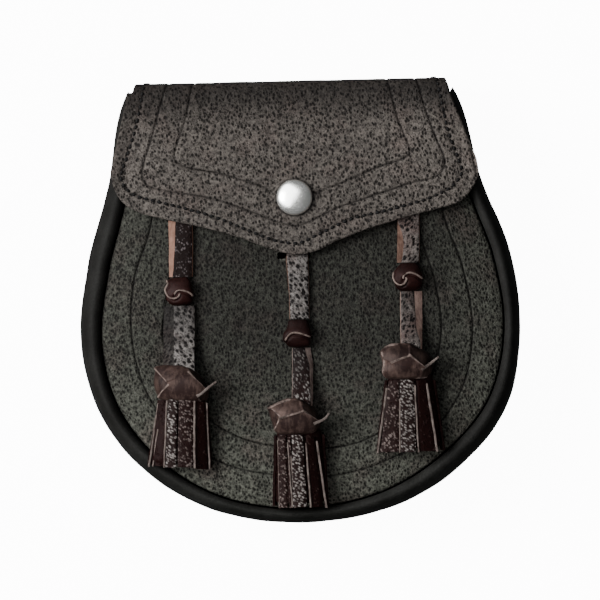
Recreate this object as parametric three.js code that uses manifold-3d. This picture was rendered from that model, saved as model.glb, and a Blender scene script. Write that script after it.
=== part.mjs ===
// A leather sporran pouch lying on its back, in millimetres.
// X runs to the wearer's left as seen from the front, Y runs up the pouch, Z runs out of its front.
// The origin is under the middle of the pouch, on the surface that it lies on.
import * as THREE from "three";
import { mergeVertices } from "three/addons/utils/BufferGeometryUtils.js";
import Module from "manifold-3d";

const wasm = await Module();
wasm.setup();

// Driving sizes of the bag
const body_width = 190;
const body_height = 190.4;
const depth_bottom = 38;
const depth_top = 30;
const band_width = 10;
const gusset_wall = 1.8;
const panel_wall = 2.2;
const panel_crown = 6.2;
const back_wall = 2.5;
const back_recess = 7;
const gap = 0.3;
const lay_softness = 0.5;
const flap_softness = 2;

// Driving sizes of the flap
const flap_width = 158;
const flap_drop = 75;
const flap_wall = 2.5;
const flap_shift = -1.1;
const roll_radius = 6.5;
const tail_width = 116;
const tail_length = 24;

// Driving sizes of the snap fastener
const stud_diameter = 15.4;
const stud_height = 4.2;
const stud_drop = 50.5;
const stem_diameter = 3.2;
const stud_lip = 0.7;
const socket_diameter = 11;
const post_diameter = 3.8;

// Driving sizes of the thongs and tassels
const thong_width = 10.4;
const thong_wall = 2.2;
const thong_corner = 0.4;
const slit_margin = 5;
const knot_width = 13.6;
const knot_length = 11.8;
const knot_height = 6.4;
const head_width = 26.6;
const head_length = 15.3;
const head_height = 12.6;
const skirt_width = 21;
const skirt_height = 9;
const roll_inset = 1.2;
const strip_width = 4.4;
const strip_wall = 1.6;

// Driving sizes of the belt loops on the back
const loop_width = 24;
const loop_opening = 40;
const loop_wall = 2;
const loop_foot = 9;
const loop_spacing = 72;
const loop_drop = 5.7;

// Forms that have no length: powers of the rounded shapes, and shares of the piece they belong to
const dome_fullness = 2.5;
const dome_shoulder = 0.7;
const roundness = 0.8;
const core_taper = 0.5;
const bend_share = 0.4;
const slit_lean = 0.3;
const hem_lift = 0.75;
const core_girths = [0.66, 0.68, 0.72];
const core_reach = 0.7;
const fan_at_head = 0.8;
const rim_inset = 0.96;
const socket_depth = 0.42;
const post_base = 0.34;
const base_inset = 0.91;
const post_rise = [0.62, 0.7];
const post_tip = 0.6;

// Colours of the finishes
const colours = {
  grained_leather: { color: 0x4a4745, roughness: 0.62, metalness: 0 },
  panel_leather: { color: 0x3c3d39, roughness: 0.66, metalness: 0 },
  gusset_leather: { color: 0x2a2a2a, roughness: 0.45, metalness: 0 },
  thong_leather: { color: 0x2c2524, roughness: 0.4, metalness: 0 },
  head_leather: { color: 0x4c3b3a, roughness: 0.5, metalness: 0 },
  nickel: { color: 0xc9c8c4, roughness: 0.28, metalness: 1 },
};

// The rim and the band inside it, by bearing in degrees from straight down, positive to the right.
// rim is a share of half the body's size, band a share of the band's width.
const outline = [
  { bearing: -150, rim: 1.383, band: 1.04 },
  { bearing: -130, rim: 1.098, band: 1.02 },
  { bearing: -110, rim: 1.003, band: 1.0 },
  { bearing: -90, rim: 0.984, band: 0.96 },
  { bearing: -70, rim: 0.966, band: 0.91 },
  { bearing: -50, rim: 0.927, band: 0.85 },
  { bearing: -30, rim: 0.887, band: 0.75 },
  { bearing: -10, rim: 0.857, band: 0.69 },
  { bearing: 10, rim: 0.859, band: 0.74 },
  { bearing: 30, rim: 0.899, band: 0.87 },
  { bearing: 50, rim: 0.952, band: 0.98 },
  { bearing: 70, rim: 1.009, band: 0.94 },
  { bearing: 90, rim: 1.017, band: 0.78 },
  { bearing: 110, rim: 1.043, band: 0.84 },
  { bearing: 130, rim: 1.109, band: 0.82 },
  { bearing: 150, rim: 1.364, band: 0.86 },
];
const outline_step = 20;
const outline_centre = { across: -0.0147, level: -0.1495 };
const mouth_bearing = 146.5;

// The flap's lower edge from its left corner round the tip to its right corner.
// across is a share of half the flap's width, down a share of its drop.
const flap_edge = [
  { across: -0.996, down: 0.503 },
  { across: -0.985, down: 0.577 },
  { across: -0.937, down: 0.675 },
  { across: -0.857, down: 0.733 },
  { across: -0.694, down: 0.785 },
  { across: -0.552, down: 0.819 },
  { across: -0.324, down: 0.887 },
  { across: -0.146, down: 0.96 },
  { across: -0.004, down: 0.999 },
  { across: 0.106, down: 0.984 },
  { across: 0.222, down: 0.929 },
  { across: 0.406, down: 0.859 },
  { across: 0.678, down: 0.779 },
  { across: 0.816, down: 0.745 },
  { across: 0.91, down: 0.709 },
  { across: 0.977, down: 0.624 },
  { across: 1.003, down: 0.551 },
  { across: 0.995, down: 0.472 },
];

// The flap's sides past its lower part: left and right are shares of half the flap's width.
// turn is the angle round the roll that closes the front, fall the angle round the one behind.
const flap_path = [
  { turn: 0, left: -0.901, right: 0.858 },
  { turn: 22, left: -0.901, right: 0.854 },
  { turn: 25, left: -0.869, right: 0.853 },
  { turn: 56, left: -0.861, right: 0.843 },
  { turn: 90, left: -0.856, right: 0.838 },
  { fall: 0, left: -0.835, right: 0.835 },
  { fall: 45, left: -0.8, right: 0.8 },
  { fall: 90, left: -0.77, right: 0.77 },
];

// The three thongs with their tassels: places are shares of half the body's width and height,
// measured from the flap's centre line and the middle of the body. raw is the width of the cut
// edge that shows, in shares of the thong's wall, and its sign is the side. width is a share of
// the thongs' width.
const tassels = [
  {
    name: "left",
    exit: { across: -0.518, level: 0.374 },
    tuck: 0.09,
    knot: { across: -0.531, level: 0.059 },
    head: { across: -0.515, level: -0.356 },
    hem: { across: -0.544, level: -0.737 },
    upper: { width: 1.077, raw: -1.45 },
    lower: { width: 1.212, raw: -1.6 },
    fan: 1.33,
  },
  {
    name: "middle",
    exit: { across: 0.008, level: 0.208 },
    tuck: 0.016,
    knot: { across: -0.004, level: -0.142 },
    head: { across: -0.002, level: -0.512 },
    hem: { across: -0.002, level: -0.928 },
    upper: { width: 0.885, raw: 0.25 },
    lower: { width: 0.923, raw: 1.0 },
    fan: 1.1,
  },
  {
    name: "right",
    exit: { across: 0.513, level: 0.351 },
    tuck: 0.09,
    knot: { across: 0.503, level: 0.101 },
    head: { across: 0.505, level: -0.277 },
    hem: { across: 0.499, level: -0.692 },
    upper: { width: 1, raw: -1.2 },
    lower: { width: 1.019, raw: 1.7 },
    fan: 1.5,
  },
];

// A tassel's head along its length: girth and rise are shares of its width and height
const head_sections = [
  { along: 0, girth: 0.62, rise: 0.66 },
  { along: 0.1, girth: 0.8, rise: 0.82 },
  { along: 0.38, girth: 1, rise: 1 },
  { along: 0.66, girth: 0.97, rise: 0.98 },
  { along: 0.9, girth: 0.84, rise: 0.86 },
  { along: 1, girth: 0.74, rise: 0.76 },
];

// A thong's knot along its length, in the same shares of the knot
const knot_sections = [
  { along: 0, girth: 0.74, rise: 0.62 },
  { along: 0.2, girth: 0.92, rise: 0.9 },
  { along: 0.5, girth: 1, rise: 1 },
  { along: 0.8, girth: 0.9, rise: 0.88 },
  { along: 1, girth: 0.68, rise: 0.6 },
];

// A skirt's strips round its bundle: angle in degrees from its right, reach as a share of its length
const strips = [
  { angle: 196, reach: 0.97, turn: 24 },
  { angle: 168, reach: 1, turn: -18 },
  { angle: 142, reach: 0.98, turn: 30 },
  { angle: 114, reach: 0.995, turn: -14 },
  { angle: 88, reach: 0.985, turn: 12 },
  { angle: 62, reach: 1, turn: -22 },
  { angle: 36, reach: 0.975, turn: 20 },
  { angle: 10, reach: 0.99, turn: -26 },
  { angle: -18, reach: 0.965, turn: 16 },
];

// Sizes worked out from the ones above
const half_width = body_width / 2;
const half_height = body_height / 2;
const centre_x = outline_centre.across * half_width;
const centre_y = outline_centre.level * half_height;
const front_curl = THREE.MathUtils.degToRad(125);
const stand = thong_wall + 2 * gap;
const roll_start = half_height - roll_radius;
const roll_inner = roll_radius - flap_wall;

// A value between table rows at even steps, on a smooth curve through them
function between(rows, place, column) {
  const last = rows.length - 1;
  const low = Math.min(Math.max(Math.floor(place), 0), last - 1);
  const t = place - low;
  const value = (k) => rows[Math.min(Math.max(k, 0), last)][column];
  const [a, b, c, d] = [value(low - 1), value(low), value(low + 1), value(low + 2)];
  return b + 0.5 * t * (c - a + t * (2 * a - 5 * b + 4 * c - d + t * (3 * (b - c) + d - a)));
}

// A smooth blend of two heights that never falls below either
function above(a, b, softness) {
  return (a + b + Math.hypot(a - b, softness)) / 2;
}

// The bag's depth at a level
function depthAt(y) {
  return depth_bottom + ((depth_top - depth_bottom) * (y + half_height)) / body_height;
}

// The rim's and the front seam's radius at a bearing, in shares of half the body's size
function rimAt(bearing) {
  const place = (bearing - outline[0].bearing) / outline_step;
  const rim = between(outline, place, "rim");
  const band = (between(outline, place, "band") * band_width) / half_width;
  return { rim, band, seam: rim - band };
}

// A point of the plan view at a bearing and radius share
function planPoint(bearing, radius) {
  const turn = THREE.MathUtils.degToRad(bearing);
  return {
    x: centre_x + radius * Math.sin(turn) * half_width,
    y: centre_y - radius * Math.cos(turn) * half_height,
  };
}

// The radius of the panel's closed outline: the seam below the mouth, a straight chord across it
function panelEdge(bearing, inset) {
  const side = Math.min(Math.abs(bearing), mouth_bearing);
  const seam = rimAt(Math.sign(bearing) * side).seam - inset / half_width;
  if (side === Math.abs(bearing)) return seam;
  const level = -seam * Math.cos(THREE.MathUtils.degToRad(mouth_bearing));
  return level / -Math.cos(THREE.MathUtils.degToRad(bearing));
}

// The front panel's outer height: a dome that turns down steeply into the seam
function panelTop(x, y) {
  const u = (x - centre_x) / half_width;
  const v = (y - centre_y) / half_height;
  const bearing = THREE.MathUtils.radToDeg(Math.atan2(u, -v));
  const share = Math.min(Math.hypot(u, v) / panelEdge(bearing, 0), 1);
  const seam_height = (depthAt(y) * (1 + Math.sin(front_curl))) / 2;
  return seam_height + panel_crown * Math.pow(1 - Math.pow(share, dome_fullness), dome_shoulder);
}

// What the thongs and tassels lie on: the panel, then level with the gusset's crest at its edge
function layHeight(x, y) {
  return above(panelTop(x, y), depthAt(y) + gap / 2, lay_softness) + gap;
}

// The underside of the flap, which lies over the thongs and the gusset's crest
function flapUnder(x, y) {
  return above(panelTop(x, y) + stand, depthAt(y) + gap, flap_softness);
}

// A closed mesh from points and triangles, faces outward, without empty triangles
function closedMesh(points, faces) {
  let geometry = new THREE.BufferGeometry();
  geometry.setAttribute("position", new THREE.Float32BufferAttribute(points.flat(), 3));
  geometry.setIndex(faces.flat());
  geometry = mergeVertices(geometry, 1e-3);
  const index = geometry.index.array;
  const place = geometry.attributes.position;
  const [a, b, c] = [new THREE.Vector3(), new THREE.Vector3(), new THREE.Vector3()];
  const kept = [];
  let volume = 0;
  for (let i = 0; i < index.length; i += 3) {
    const [p, q, r] = [index[i], index[i + 1], index[i + 2]];
    if (p === q || q === r || r === p) continue;
    a.fromBufferAttribute(place, p);
    b.fromBufferAttribute(place, q);
    c.fromBufferAttribute(place, r);
    volume += a.dot(b.cross(c));
    kept.push([p, q, r]);
  }
  const turned = volume < 0 ? kept.map(([p, q, r]) => [p, r, q]) : kept;
  geometry.setIndex(turned.flat());
  geometry.computeVertexNormals();
  return geometry;
}

// A wall between two surfaces of two parameters, with its edges closed
function sheet(columns, rows, face, under, joined = false) {
  const across = joined ? columns : columns + 1;
  const points = [];
  for (const surface of [face, under]) {
    for (let i = 0; i < across; i++) {
      for (let j = 0; j <= rows; j++) points.push(surface(i, j));
    }
  }
  const at = (side, i, j) => side * across * (rows + 1) + (i % across) * (rows + 1) + j;
  const faces = [];
  const quad = (p, q, r, s) => faces.push([p, q, r], [p, r, s]);
  for (let i = 0; i < columns; i++) {
    for (let j = 0; j < rows; j++) {
      quad(at(0, i, j), at(0, i + 1, j), at(0, i + 1, j + 1), at(0, i, j + 1));
      quad(at(1, i, j), at(1, i, j + 1), at(1, i + 1, j + 1), at(1, i + 1, j));
    }
    quad(at(0, i, 0), at(1, i, 0), at(1, i + 1, 0), at(0, i + 1, 0));
    quad(at(0, i, rows), at(0, i + 1, rows), at(1, i + 1, rows), at(1, i, rows));
  }
  for (let j = 0; j < rows && !joined; j++) {
    quad(at(0, 0, j), at(0, 0, j + 1), at(1, 0, j + 1), at(1, 0, j));
    quad(at(0, columns, j), at(1, columns, j), at(1, columns, j + 1), at(0, columns, j + 1));
  }
  return closedMesh(points, faces);
}

// A solid through rings of points, its two ends closed
function loft(rings) {
  const size = rings[0].length;
  const points = rings.flat();
  const faces = [];
  for (let i = 0; i < rings.length - 1; i++) {
    for (let k = 0; k < size; k++) {
      const next = (k + 1) % size;
      const [p, q] = [i * size + k, i * size + next];
      faces.push([p, q, q + size], [p, q + size, p + size]);
    }
  }
  const middle = (ring) => [0, 1, 2].map((n) => ring.reduce((sum, p) => sum + p[n], 0) / size);
  for (const [first, turned] of [[0, true], [(rings.length - 1) * size, false]]) {
    const hub = points.push(middle(rings[first / size])) - 1;
    for (let k = 0; k < size; k++) {
      const [p, q] = [first + k, first + ((k + 1) % size)];
      faces.push(turned ? [hub, q, p] : [hub, p, q]);
    }
  }
  return closedMesh(points, faces);
}

// Joining and cutting of closed meshes
function toSolid(geometry) {
  const bare = geometry.clone();
  bare.deleteAttribute("normal");
  bare.deleteAttribute("uv");
  const merged = mergeVertices(bare, 1e-4);
  return new wasm.Manifold(
    new wasm.Mesh({
      numProp: 3,
      vertProperties: new Float32Array(merged.attributes.position.array),
      triVerts: new Uint32Array(merged.index.array),
    }),
  );
}

function toGeometry(solid) {
  const mesh = solid.getMesh();
  const geometry = new THREE.BufferGeometry();
  geometry.setAttribute("position", new THREE.Float32BufferAttribute(mesh.vertProperties, 3));
  geometry.setIndex(Array.from(mesh.triVerts));
  geometry.computeVertexNormals();
  return geometry;
}

function cut(geometry, tools) {
  return toGeometry(tools.reduce((solid, tool) => solid.subtract(toSolid(tool)), toSolid(geometry)));
}

function join(geometries) {
  return toGeometry(geometries.map(toSolid).reduce((whole, next) => whole.add(next)));
}

const group = new THREE.Group();

// Adds one named piece in its finish
function addPiece(name, geometry, finish) {
  const mesh = new THREE.Mesh(geometry, new THREE.MeshStandardMaterial(colours[finish]));
  mesh.name = name;
  group.add(mesh);
  return mesh;
}

// The gusset's section at a bearing: an ellipse that curls in to the front and the back seam
function gussetPoint(bearing, along, wall) {
  const { rim, band } = rimAt(bearing);
  const reach = (band * half_width) / (1 - Math.cos(front_curl));
  const outer = planPoint(bearing, rim);
  const depth = depthAt(outer.y);
  const back_curl = Math.PI - Math.asin(1 - (2 * back_recess) / depth);
  const turn = front_curl - along * (front_curl + back_curl);
  const inward = reach - (reach - wall) * Math.cos(turn);
  const plan = planPoint(bearing, rim - inward / half_width);
  return [plan.x, plan.y, depth / 2 + (depth / 2 - wall) * Math.sin(turn)];
}

// The rounded band round the sides and bottom, open at the mouth
function makeGusset() {
  const stations = 44;
  const turns = 9;
  const bearing = (i) => mouth_bearing * ((2 * i) / stations - 1);
  const face = (i, j) => gussetPoint(bearing(i), j / turns, 0);
  const under = (i, j) => gussetPoint(bearing(i), j / turns, gusset_wall);
  addPiece("gusset", sheet(stations, turns, face, under), "gusset_leather");
}

// The place of a thong's slit in the front panel, and the box that cuts it
function slitOf(row) {
  const x = flap_shift + row.exit.across * half_width;
  const low = (row.exit.level + row.tuck) * half_height - stand;
  return { x, low, high: low + stand, width: row.upper.width * thong_width + slit_margin };
}

function slitCutter(row) {
  const slit = slitOf(row);
  const box = new THREE.BoxGeometry(slit.width, slit.high - slit.low, body_height);
  const lean = -slit_margin * slit_lean;
  box.translate(slit.x + lean, (slit.low + slit.high) / 2, 0);
  return box;
}

// The domed front panel, sewn in inside the gusset, with a slit for each thong
function makeFrontPanel() {
  const stations = 54;
  const rings = [0, 0.3, 0.55, 0.75, 0.88, 0.96, 1];
  const point = (i, j, drop) => {
    const bearing = -180 + (360 * i) / stations;
    const plan = planPoint(bearing, rings[j] * panelEdge(bearing, gap));
    return [plan.x, plan.y, panelTop(plan.x, plan.y) - drop];
  };
  const face = (i, j) => point(i, j, 0);
  const under = (i, j) => point(i, j, panel_wall);
  const panel = sheet(stations, rings.length - 1, face, under, true);
  addPiece("front_panel", cut(panel, tassels.map(slitCutter)), "panel_leather");
}

// The flat back panel, set in behind the gusset's back curl
function makeBackPanel() {
  const stations = 48;
  const edge = [];
  for (let i = 0; i <= stations; i++) {
    const bearing = mouth_bearing * ((2 * i) / stations - 1);
    const [x, y] = gussetPoint(bearing, 1, 0);
    const away = new THREE.Vector2(x - centre_x, y - centre_y);
    away.setLength(away.length() - gap);
    edge.push(new THREE.Vector2(centre_x + away.x, centre_y + away.y));
  }
  const plate = new THREE.ExtrudeGeometry(new THREE.Shape(edge), { depth: back_wall, bevelEnabled: false });
  plate.translate(0, 0, back_recess);
  addPiece("back_panel", plate, "gusset_leather");
}

// The flap's lower edge as evenly spaced points
function flapEdgePoints(count) {
  const points = flap_edge.map(
    (row) => new THREE.Vector3(
      flap_shift + (row.across * flap_width) / 2,
      half_height - row.down * flap_drop,
      0,
    ),
  );
  return new THREE.CatmullRomCurve3(points, false, "centripetal").getSpacedPoints(count);
}

// The flap: a sheet from its lower edge up the front, over the top and down the back
function flapPoint(edge, share, row, height) {
  const half = flap_width / 2;
  const across = (path) => flap_shift + half * (path.left + (path.right - path.left) * share);
  if (row.up !== undefined) {
    const x = edge.x + (across(flap_path[0]) - edge.x) * row.up;
    const y = edge.y + (roll_start - edge.y) * row.up;
    return [x, y, flapUnder(x, y) + height];
  }
  const radius = roll_inner + height;
  const x = across(row);
  if (row.turn !== undefined) {
    const turn = THREE.MathUtils.degToRad(row.turn);
    const hub = flapUnder(x, roll_start) - roll_inner;
    return [x, roll_start + radius * Math.sin(turn), hub + radius * Math.cos(turn)];
  }
  const fall = THREE.MathUtils.degToRad(row.fall);
  const hub = back_recess - gap + roll_inner;
  const run = row.run ?? 0;
  return [x, roll_start + radius * Math.cos(fall) - run, hub - radius * Math.sin(fall)];
}

function makeFlap(hole) {
  const columns = 28;
  const fronts = [0, 0.03, 0.14, 0.3, 0.48, 0.66, 0.83];
  const tail = tail_width / flap_width;
  const rows = [
    ...fronts.map((up) => ({ up })),
    ...flap_path,
    { fall: 90, run: tail_length, left: -tail, right: tail },
  ];
  const edge = flapEdgePoints(columns);
  const face = (i, j) => flapPoint(edge[i], i / columns, rows[j], flap_wall);
  const under = (i, j) => flapPoint(edge[i], i / columns, rows[j], 0);
  const flap = sheet(columns, rows.length - 1, face, under);
  addPiece("flap", cut(flap, [hole]), "grained_leather");
}

// The line that the snap's two halves stand on, square to the flap
function snapPlace() {
  const place = new THREE.Vector3(flap_shift, half_height - stud_drop, 0);
  const step = 2;
  const rise = (dx, dy) => flapUnder(place.x + dx, place.y + dy);
  const slope_x = (rise(step, 0) - rise(-step, 0)) / (2 * step);
  const slope_y = (rise(0, step) - rise(0, -step)) / (2 * step);
  place.z = rise(0, 0) + flap_wall;
  const normal = new THREE.Vector3(-slope_x, -slope_y, 1).normalize();
  const turn = new THREE.Quaternion().setFromUnitVectors(new THREE.Vector3(0, 0, 1), normal);
  return { place, turn };
}

// A turned piece from radius and height pairs, its axis along Z
function turned(pairs, sides) {
  const lathe = new THREE.LatheGeometry(pairs.map(([r, h]) => new THREE.Vector2(r, h)), sides);
  lathe.rotateX(Math.PI / 2);
  const bare = lathe.clone();
  bare.deleteAttribute("normal");
  bare.deleteAttribute("uv");
  const merged = mergeVertices(bare, 1e-3);
  const place = merged.attributes.position;
  const points = Array.from({ length: place.count }, (_, k) => [place.getX(k), place.getY(k), place.getZ(k)]);
  const index = Array.from(merged.index.array);
  const faces = [];
  for (let i = 0; i < index.length; i += 3) faces.push(index.slice(i, i + 3));
  return closedMesh(points, faces);
}

// The domed cap, its stem through the flap and the socket under it
function makeStud({ place, turn }) {
  const r = stud_diameter / 2;
  const stem = stem_diameter / 2;
  const socket = socket_diameter / 2;
  const recess = post_diameter / 2 + gap;
  const under = -flap_wall;
  const dome = [15, 32, 50, 68].map((degrees) => {
    const angle = THREE.MathUtils.degToRad(degrees);
    return [r * Math.cos(angle), stud_lip + gap + (stud_height - stud_lip - gap) * Math.sin(angle)];
  });
  const pairs = [
    [0, under - gap * 1.5],
    [recess, under - gap * 1.5],
    [recess, under - stand * socket_depth],
    [socket, under - stand * socket_depth],
    [socket, under - gap],
    [stem, under - gap],
    [stem, gap],
    [r * rim_inset, gap],
    [r, gap + stud_lip / 2],
    [r, gap + stud_lip],
    ...dome,
    [0, stud_height],
  ];
  const mesh = addPiece("stud_cap", turned(pairs, 20), "nickel");
  mesh.position.copy(place);
  mesh.quaternion.copy(turn);
}

// The post on the front panel that the cap's socket closes over
function makePost({ place, turn }) {
  const base = (socket_diameter / 2) * base_inset;
  const post = post_diameter / 2;
  const foot = -flap_wall - stand;
  const pairs = [
    [0, foot + gap],
    [base, foot + gap],
    [base, foot + stand * post_base],
    [post, foot + stand * post_base],
    [post, foot + stand * post_rise[0]],
    [post * post_tip, foot + stand * post_rise[1]],
    [0, foot + stand * post_rise[1]],
  ];
  const mesh = addPiece("snap_post", turned(pairs, 16), "nickel");
  mesh.position.copy(place);
  mesh.quaternion.copy(turn);
}

// The hole in the flap for the cap's stem
function stemHole({ place, turn }) {
  const hole = new THREE.CylinderGeometry(stem_diameter / 2 + gap, stem_diameter / 2 + gap, 4 * flap_wall, 14);
  hole.rotateX(Math.PI / 2);
  hole.applyQuaternion(turn);
  hole.translate(place.x, place.y, place.z - flap_wall / 2);
  return hole;
}

// The point of plan at a share of the way between two others
function midway(from, to, share) {
  return [from[0] + (to[0] - from[0]) * share, from[1] + (to[1] - from[1]) * share];
}

// A frame along a line in plan: a point by length along it, offset across it and height above the lay
function laidLine(from, to) {
  const start = new THREE.Vector2(flap_shift + from.across * half_width, from.level * half_height);
  const end = new THREE.Vector2(flap_shift + to.across * half_width, to.level * half_height);
  const run = end.clone().sub(start);
  const length = run.length();
  run.normalize();
  const side = new THREE.Vector2(-run.y, run.x);
  const plan = (along, across) => [
    start.x + run.x * along + side.x * across,
    start.y + run.y * along + side.y * across,
  ];
  return { length, plan };
}

// A thong's section: flat, with its cut edge slanted open on the side that raw names
function thongSection({ width, raw }) {
  const half = (width * thong_width) / 2;
  const bevel = Math.abs(raw) * thong_wall;
  const left = raw < 0 ? bevel : thong_corner;
  const right = raw > 0 ? bevel : thong_corner;
  return [
    [-half, 0],
    [half, 0],
    [half, thong_corner],
    [half - right, thong_wall],
    [-half + left, thong_wall],
    [-half, thong_corner],
  ];
}

// The stretch from the knot up under the flap and down through its slit
function makeUpperThong(row) {
  const slit = slitOf(row);
  const bend = thong_wall * bend_share;
  const bend_start = slit.low + gap - bend;
  const knot = laidLine(row.knot, row.head);
  const section = thongSection(row.upper);
  const steps = 5;
  const rings = [];
  for (let i = 0; i <= steps; i++) {
    const ring = ([a, h]) => {
      const [x, y] = midway(knot.plan(-knot_length / 2 - gap, a), [slit.x + a, bend_start], i / steps);
      return [x, y, layHeight(x, y) + h];
    };
    rings.push(section.map(ring));
  }
  const hub = (a) => layHeight(slit.x + a, bend_start) - bend;
  for (const degrees of [30, 60, 90]) {
    const turn = THREE.MathUtils.degToRad(degrees);
    const ring = ([a, h]) => [
      slit.x + a,
      bend_start + (bend + h) * Math.sin(turn),
      hub(a) + (bend + h) * Math.cos(turn),
    ];
    rings.push(section.map(ring));
  }
  const end = hub(0) - panel_wall - thong_wall;
  rings.push(section.map(([a, h]) => [slit.x + a, bend_start + bend + h, end]));
  addPiece(`${row.name}_upper_thong`, loft(rings), "thong_leather");
}

// The stretch from the knot down to the tassel, rising to the middle of the tassel's head
function makeLowerThong(row) {
  const knot = laidLine(row.knot, row.head);
  const tassel = laidLine(row.head, row.hem);
  const section = thongSection(row.lower);
  const lift = (head_height - thong_wall) / 2;
  const steps = 5;
  const rings = [];
  for (let i = 0; i <= steps; i++) {
    const share = i / steps;
    const rise = lift * share * share;
    const ring = ([a, h]) => {
      const start = knot.plan(knot_length / 2 + gap, a);
      const [x, y] = midway(start, tassel.plan(-head_length / 2 - gap, a), share);
      return [x, y, layHeight(x, y) + rise + h];
    };
    rings.push(section.map(ring));
  }
  addPiece(`${row.name}_lower_thong`, loft(rings), "thong_leather");
}

// One ring of a rounded body that rests on the lay: a flattened round with its sides squared a little
function bodyRing(line, along, width, height, base, sides, grow = 0) {
  const ring = [];
  for (let k = 0; k < sides; k++) {
    const angle = (2 * Math.PI * (k + 0.5)) / sides;
    const [c, s] = [Math.cos(angle), Math.sin(angle)];
    const across = Math.sign(c) * Math.pow(Math.abs(c), roundness) * (width / 2 + grow);
    const up = Math.sign(s) * Math.pow(Math.abs(s), roundness) * (height / 2 + grow);
    const [x, y] = line.plan(along, across);
    ring.push([x, y, layHeight(x, y) + base + height / 2 + up]);
  }
  return ring;
}

// The overhand knot in a thong, as one rounded lump
function makeKnot(row) {
  const line = laidLine(row.knot, row.head);
  const ring = ({ along, girth, rise }) =>
    bodyRing(line, (along - 0.5) * knot_length, knot_width * girth, knot_height * rise, 0, 12);
  addPiece(`${row.name}_knot`, loft(knot_sections.map(ring)), "thong_leather");
}

// The rolled top of a skirt's fringe, inside the head and down between the strips
function skirtCore(line, start, end, grow) {
  const base = (head_height - skirt_height) / 2;
  const ring = (along, size) =>
    bodyRing(line, along, skirt_width * size, skirt_height * size, base * (1 - size * core_taper), 10, grow);
  return loft(core_girths.map((girth, k) => ring(start + ((end - start) * k) / 2, girth)));
}

// One hanging strip of a skirt, a flat strap that fans outward towards the hem
function skirtStrip(line, strip, top, hem, fan) {
  const angle = THREE.MathUtils.degToRad(strip.angle);
  const twist = THREE.MathUtils.degToRad(strip.turn);
  const base = (head_height - skirt_height) / 2;
  const steps = 3;
  const rings = [];
  for (let i = 0; i <= steps; i++) {
    const share = i / steps;
    const along = top + (hem - top) * share * strip.reach;
    const spread = fan_at_head + (fan - fan_at_head) * share;
    const across = ((skirt_width - strip_wall) / 2) * spread * Math.cos(angle);
    const low = base * (1 - share) + strip_wall * hem_lift;
    const up = low + (skirt_height / 2 - strip_wall * hem_lift) * (1 + Math.sin(angle));
    const lie = Math.atan2(Math.cos(angle) * skirt_height, -Math.sin(angle) * skirt_width) + twist * share;
    const [dx, dh] = [Math.cos(lie), Math.sin(lie)];
    const corner = (a, t) => {
      const [x, y] = line.plan(along, across + a * dx - t * dh);
      const floor = layHeight(x, y);
      return [x, y, Math.max(floor + up + a * dh + t * dx, floor)];
    };
    const [w, t] = [strip_width / 2, strip_wall / 2];
    rings.push([corner(-w, -t), corner(w, -t), corner(w, t), corner(-w, t)]);
  }
  return loft(rings);
}

// A tassel: its rolled fringe as one solid, and the woven head round the roll
function makeTassel(row) {
  const line = laidLine(row.head, row.hem);
  const top = head_length / 2;
  const core_top = roll_inset - top;
  const core_end = top + (line.length - top) * core_reach;
  const core = skirtCore(line, core_top, core_end, 0);
  const fringe = strips.map((strip) => skirtStrip(line, strip, top + gap, line.length, row.fan));
  addPiece(`${row.name}_tassel_skirt`, join([core, ...fringe]), "thong_leather");

  const ring = ({ along, girth, rise }) =>
    bodyRing(line, (along - 0.5) * head_length, head_width * girth, head_height * rise, 0, 14);
  const hole = skirtCore(line, core_top - thong_wall, core_end, gap);
  addPiece(`${row.name}_tassel_head`, cut(loft(head_sections.map(ring)), [hole]), "head_leather");
}

// A belt loop: a flat strap that stands off the back panel between its two feet
function makeBeltLoop(name, x) {
  const inner = loop_opening / 2;
  const outer = inner + loop_wall;
  const foot = outer + loop_foot;
  const top = back_recess - gap;
  const bend = 1.5;
  const profile = [
    [-foot, top],
    [-foot, top - loop_wall],
    [-outer, top - loop_wall],
    [-outer, bend],
    [-outer + bend, 0],
    [outer - bend, 0],
    [outer, bend],
    [outer, top - loop_wall],
    [foot, top - loop_wall],
    [foot, top],
    [inner, top],
    [inner, loop_wall],
    [-inner, loop_wall],
    [-inner, top],
  ];
  const shape = new THREE.Shape(profile.map(([y, z]) => new THREE.Vector2(y, z)));
  const strap = new THREE.ExtrudeGeometry(shape, { depth: loop_width, bevelEnabled: false });
  const upright = new THREE.Matrix4().makeBasis(
    new THREE.Vector3(0, 1, 0),
    new THREE.Vector3(0, 0, 1),
    new THREE.Vector3(1, 0, 0),
  );
  strap.applyMatrix4(upright);
  const mesh = addPiece(name, strap, "gusset_leather");
  const tail_end = roll_start - tail_length;
  mesh.position.set(x - loop_width / 2, tail_end - loop_drop - foot, 0);
}

const snap = snapPlace();
makeGusset();
makeFrontPanel();
makeBackPanel();
makeFlap(stemHole(snap));
makeStud(snap);
makePost(snap);
for (const row of tassels) {
  makeUpperThong(row);
  makeKnot(row);
  makeLowerThong(row);
  makeTassel(row);
}
makeBeltLoop("left_belt_loop", -loop_spacing / 2);
makeBeltLoop("right_belt_loop", loop_spacing / 2);

// The origin goes under the middle of the whole pouch
const extent = new THREE.Box3().setFromObject(group);
const middle = extent.getCenter(new THREE.Vector3());
group.position.set(-middle.x, -middle.y, -extent.min.z);

export default group;
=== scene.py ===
# A leather sporran pouch lying on its back: its leathers, stitches, tooling, knots, tassels and snap.
# Lengths here are millimetres in the maker's frame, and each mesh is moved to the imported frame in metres.
import math

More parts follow.
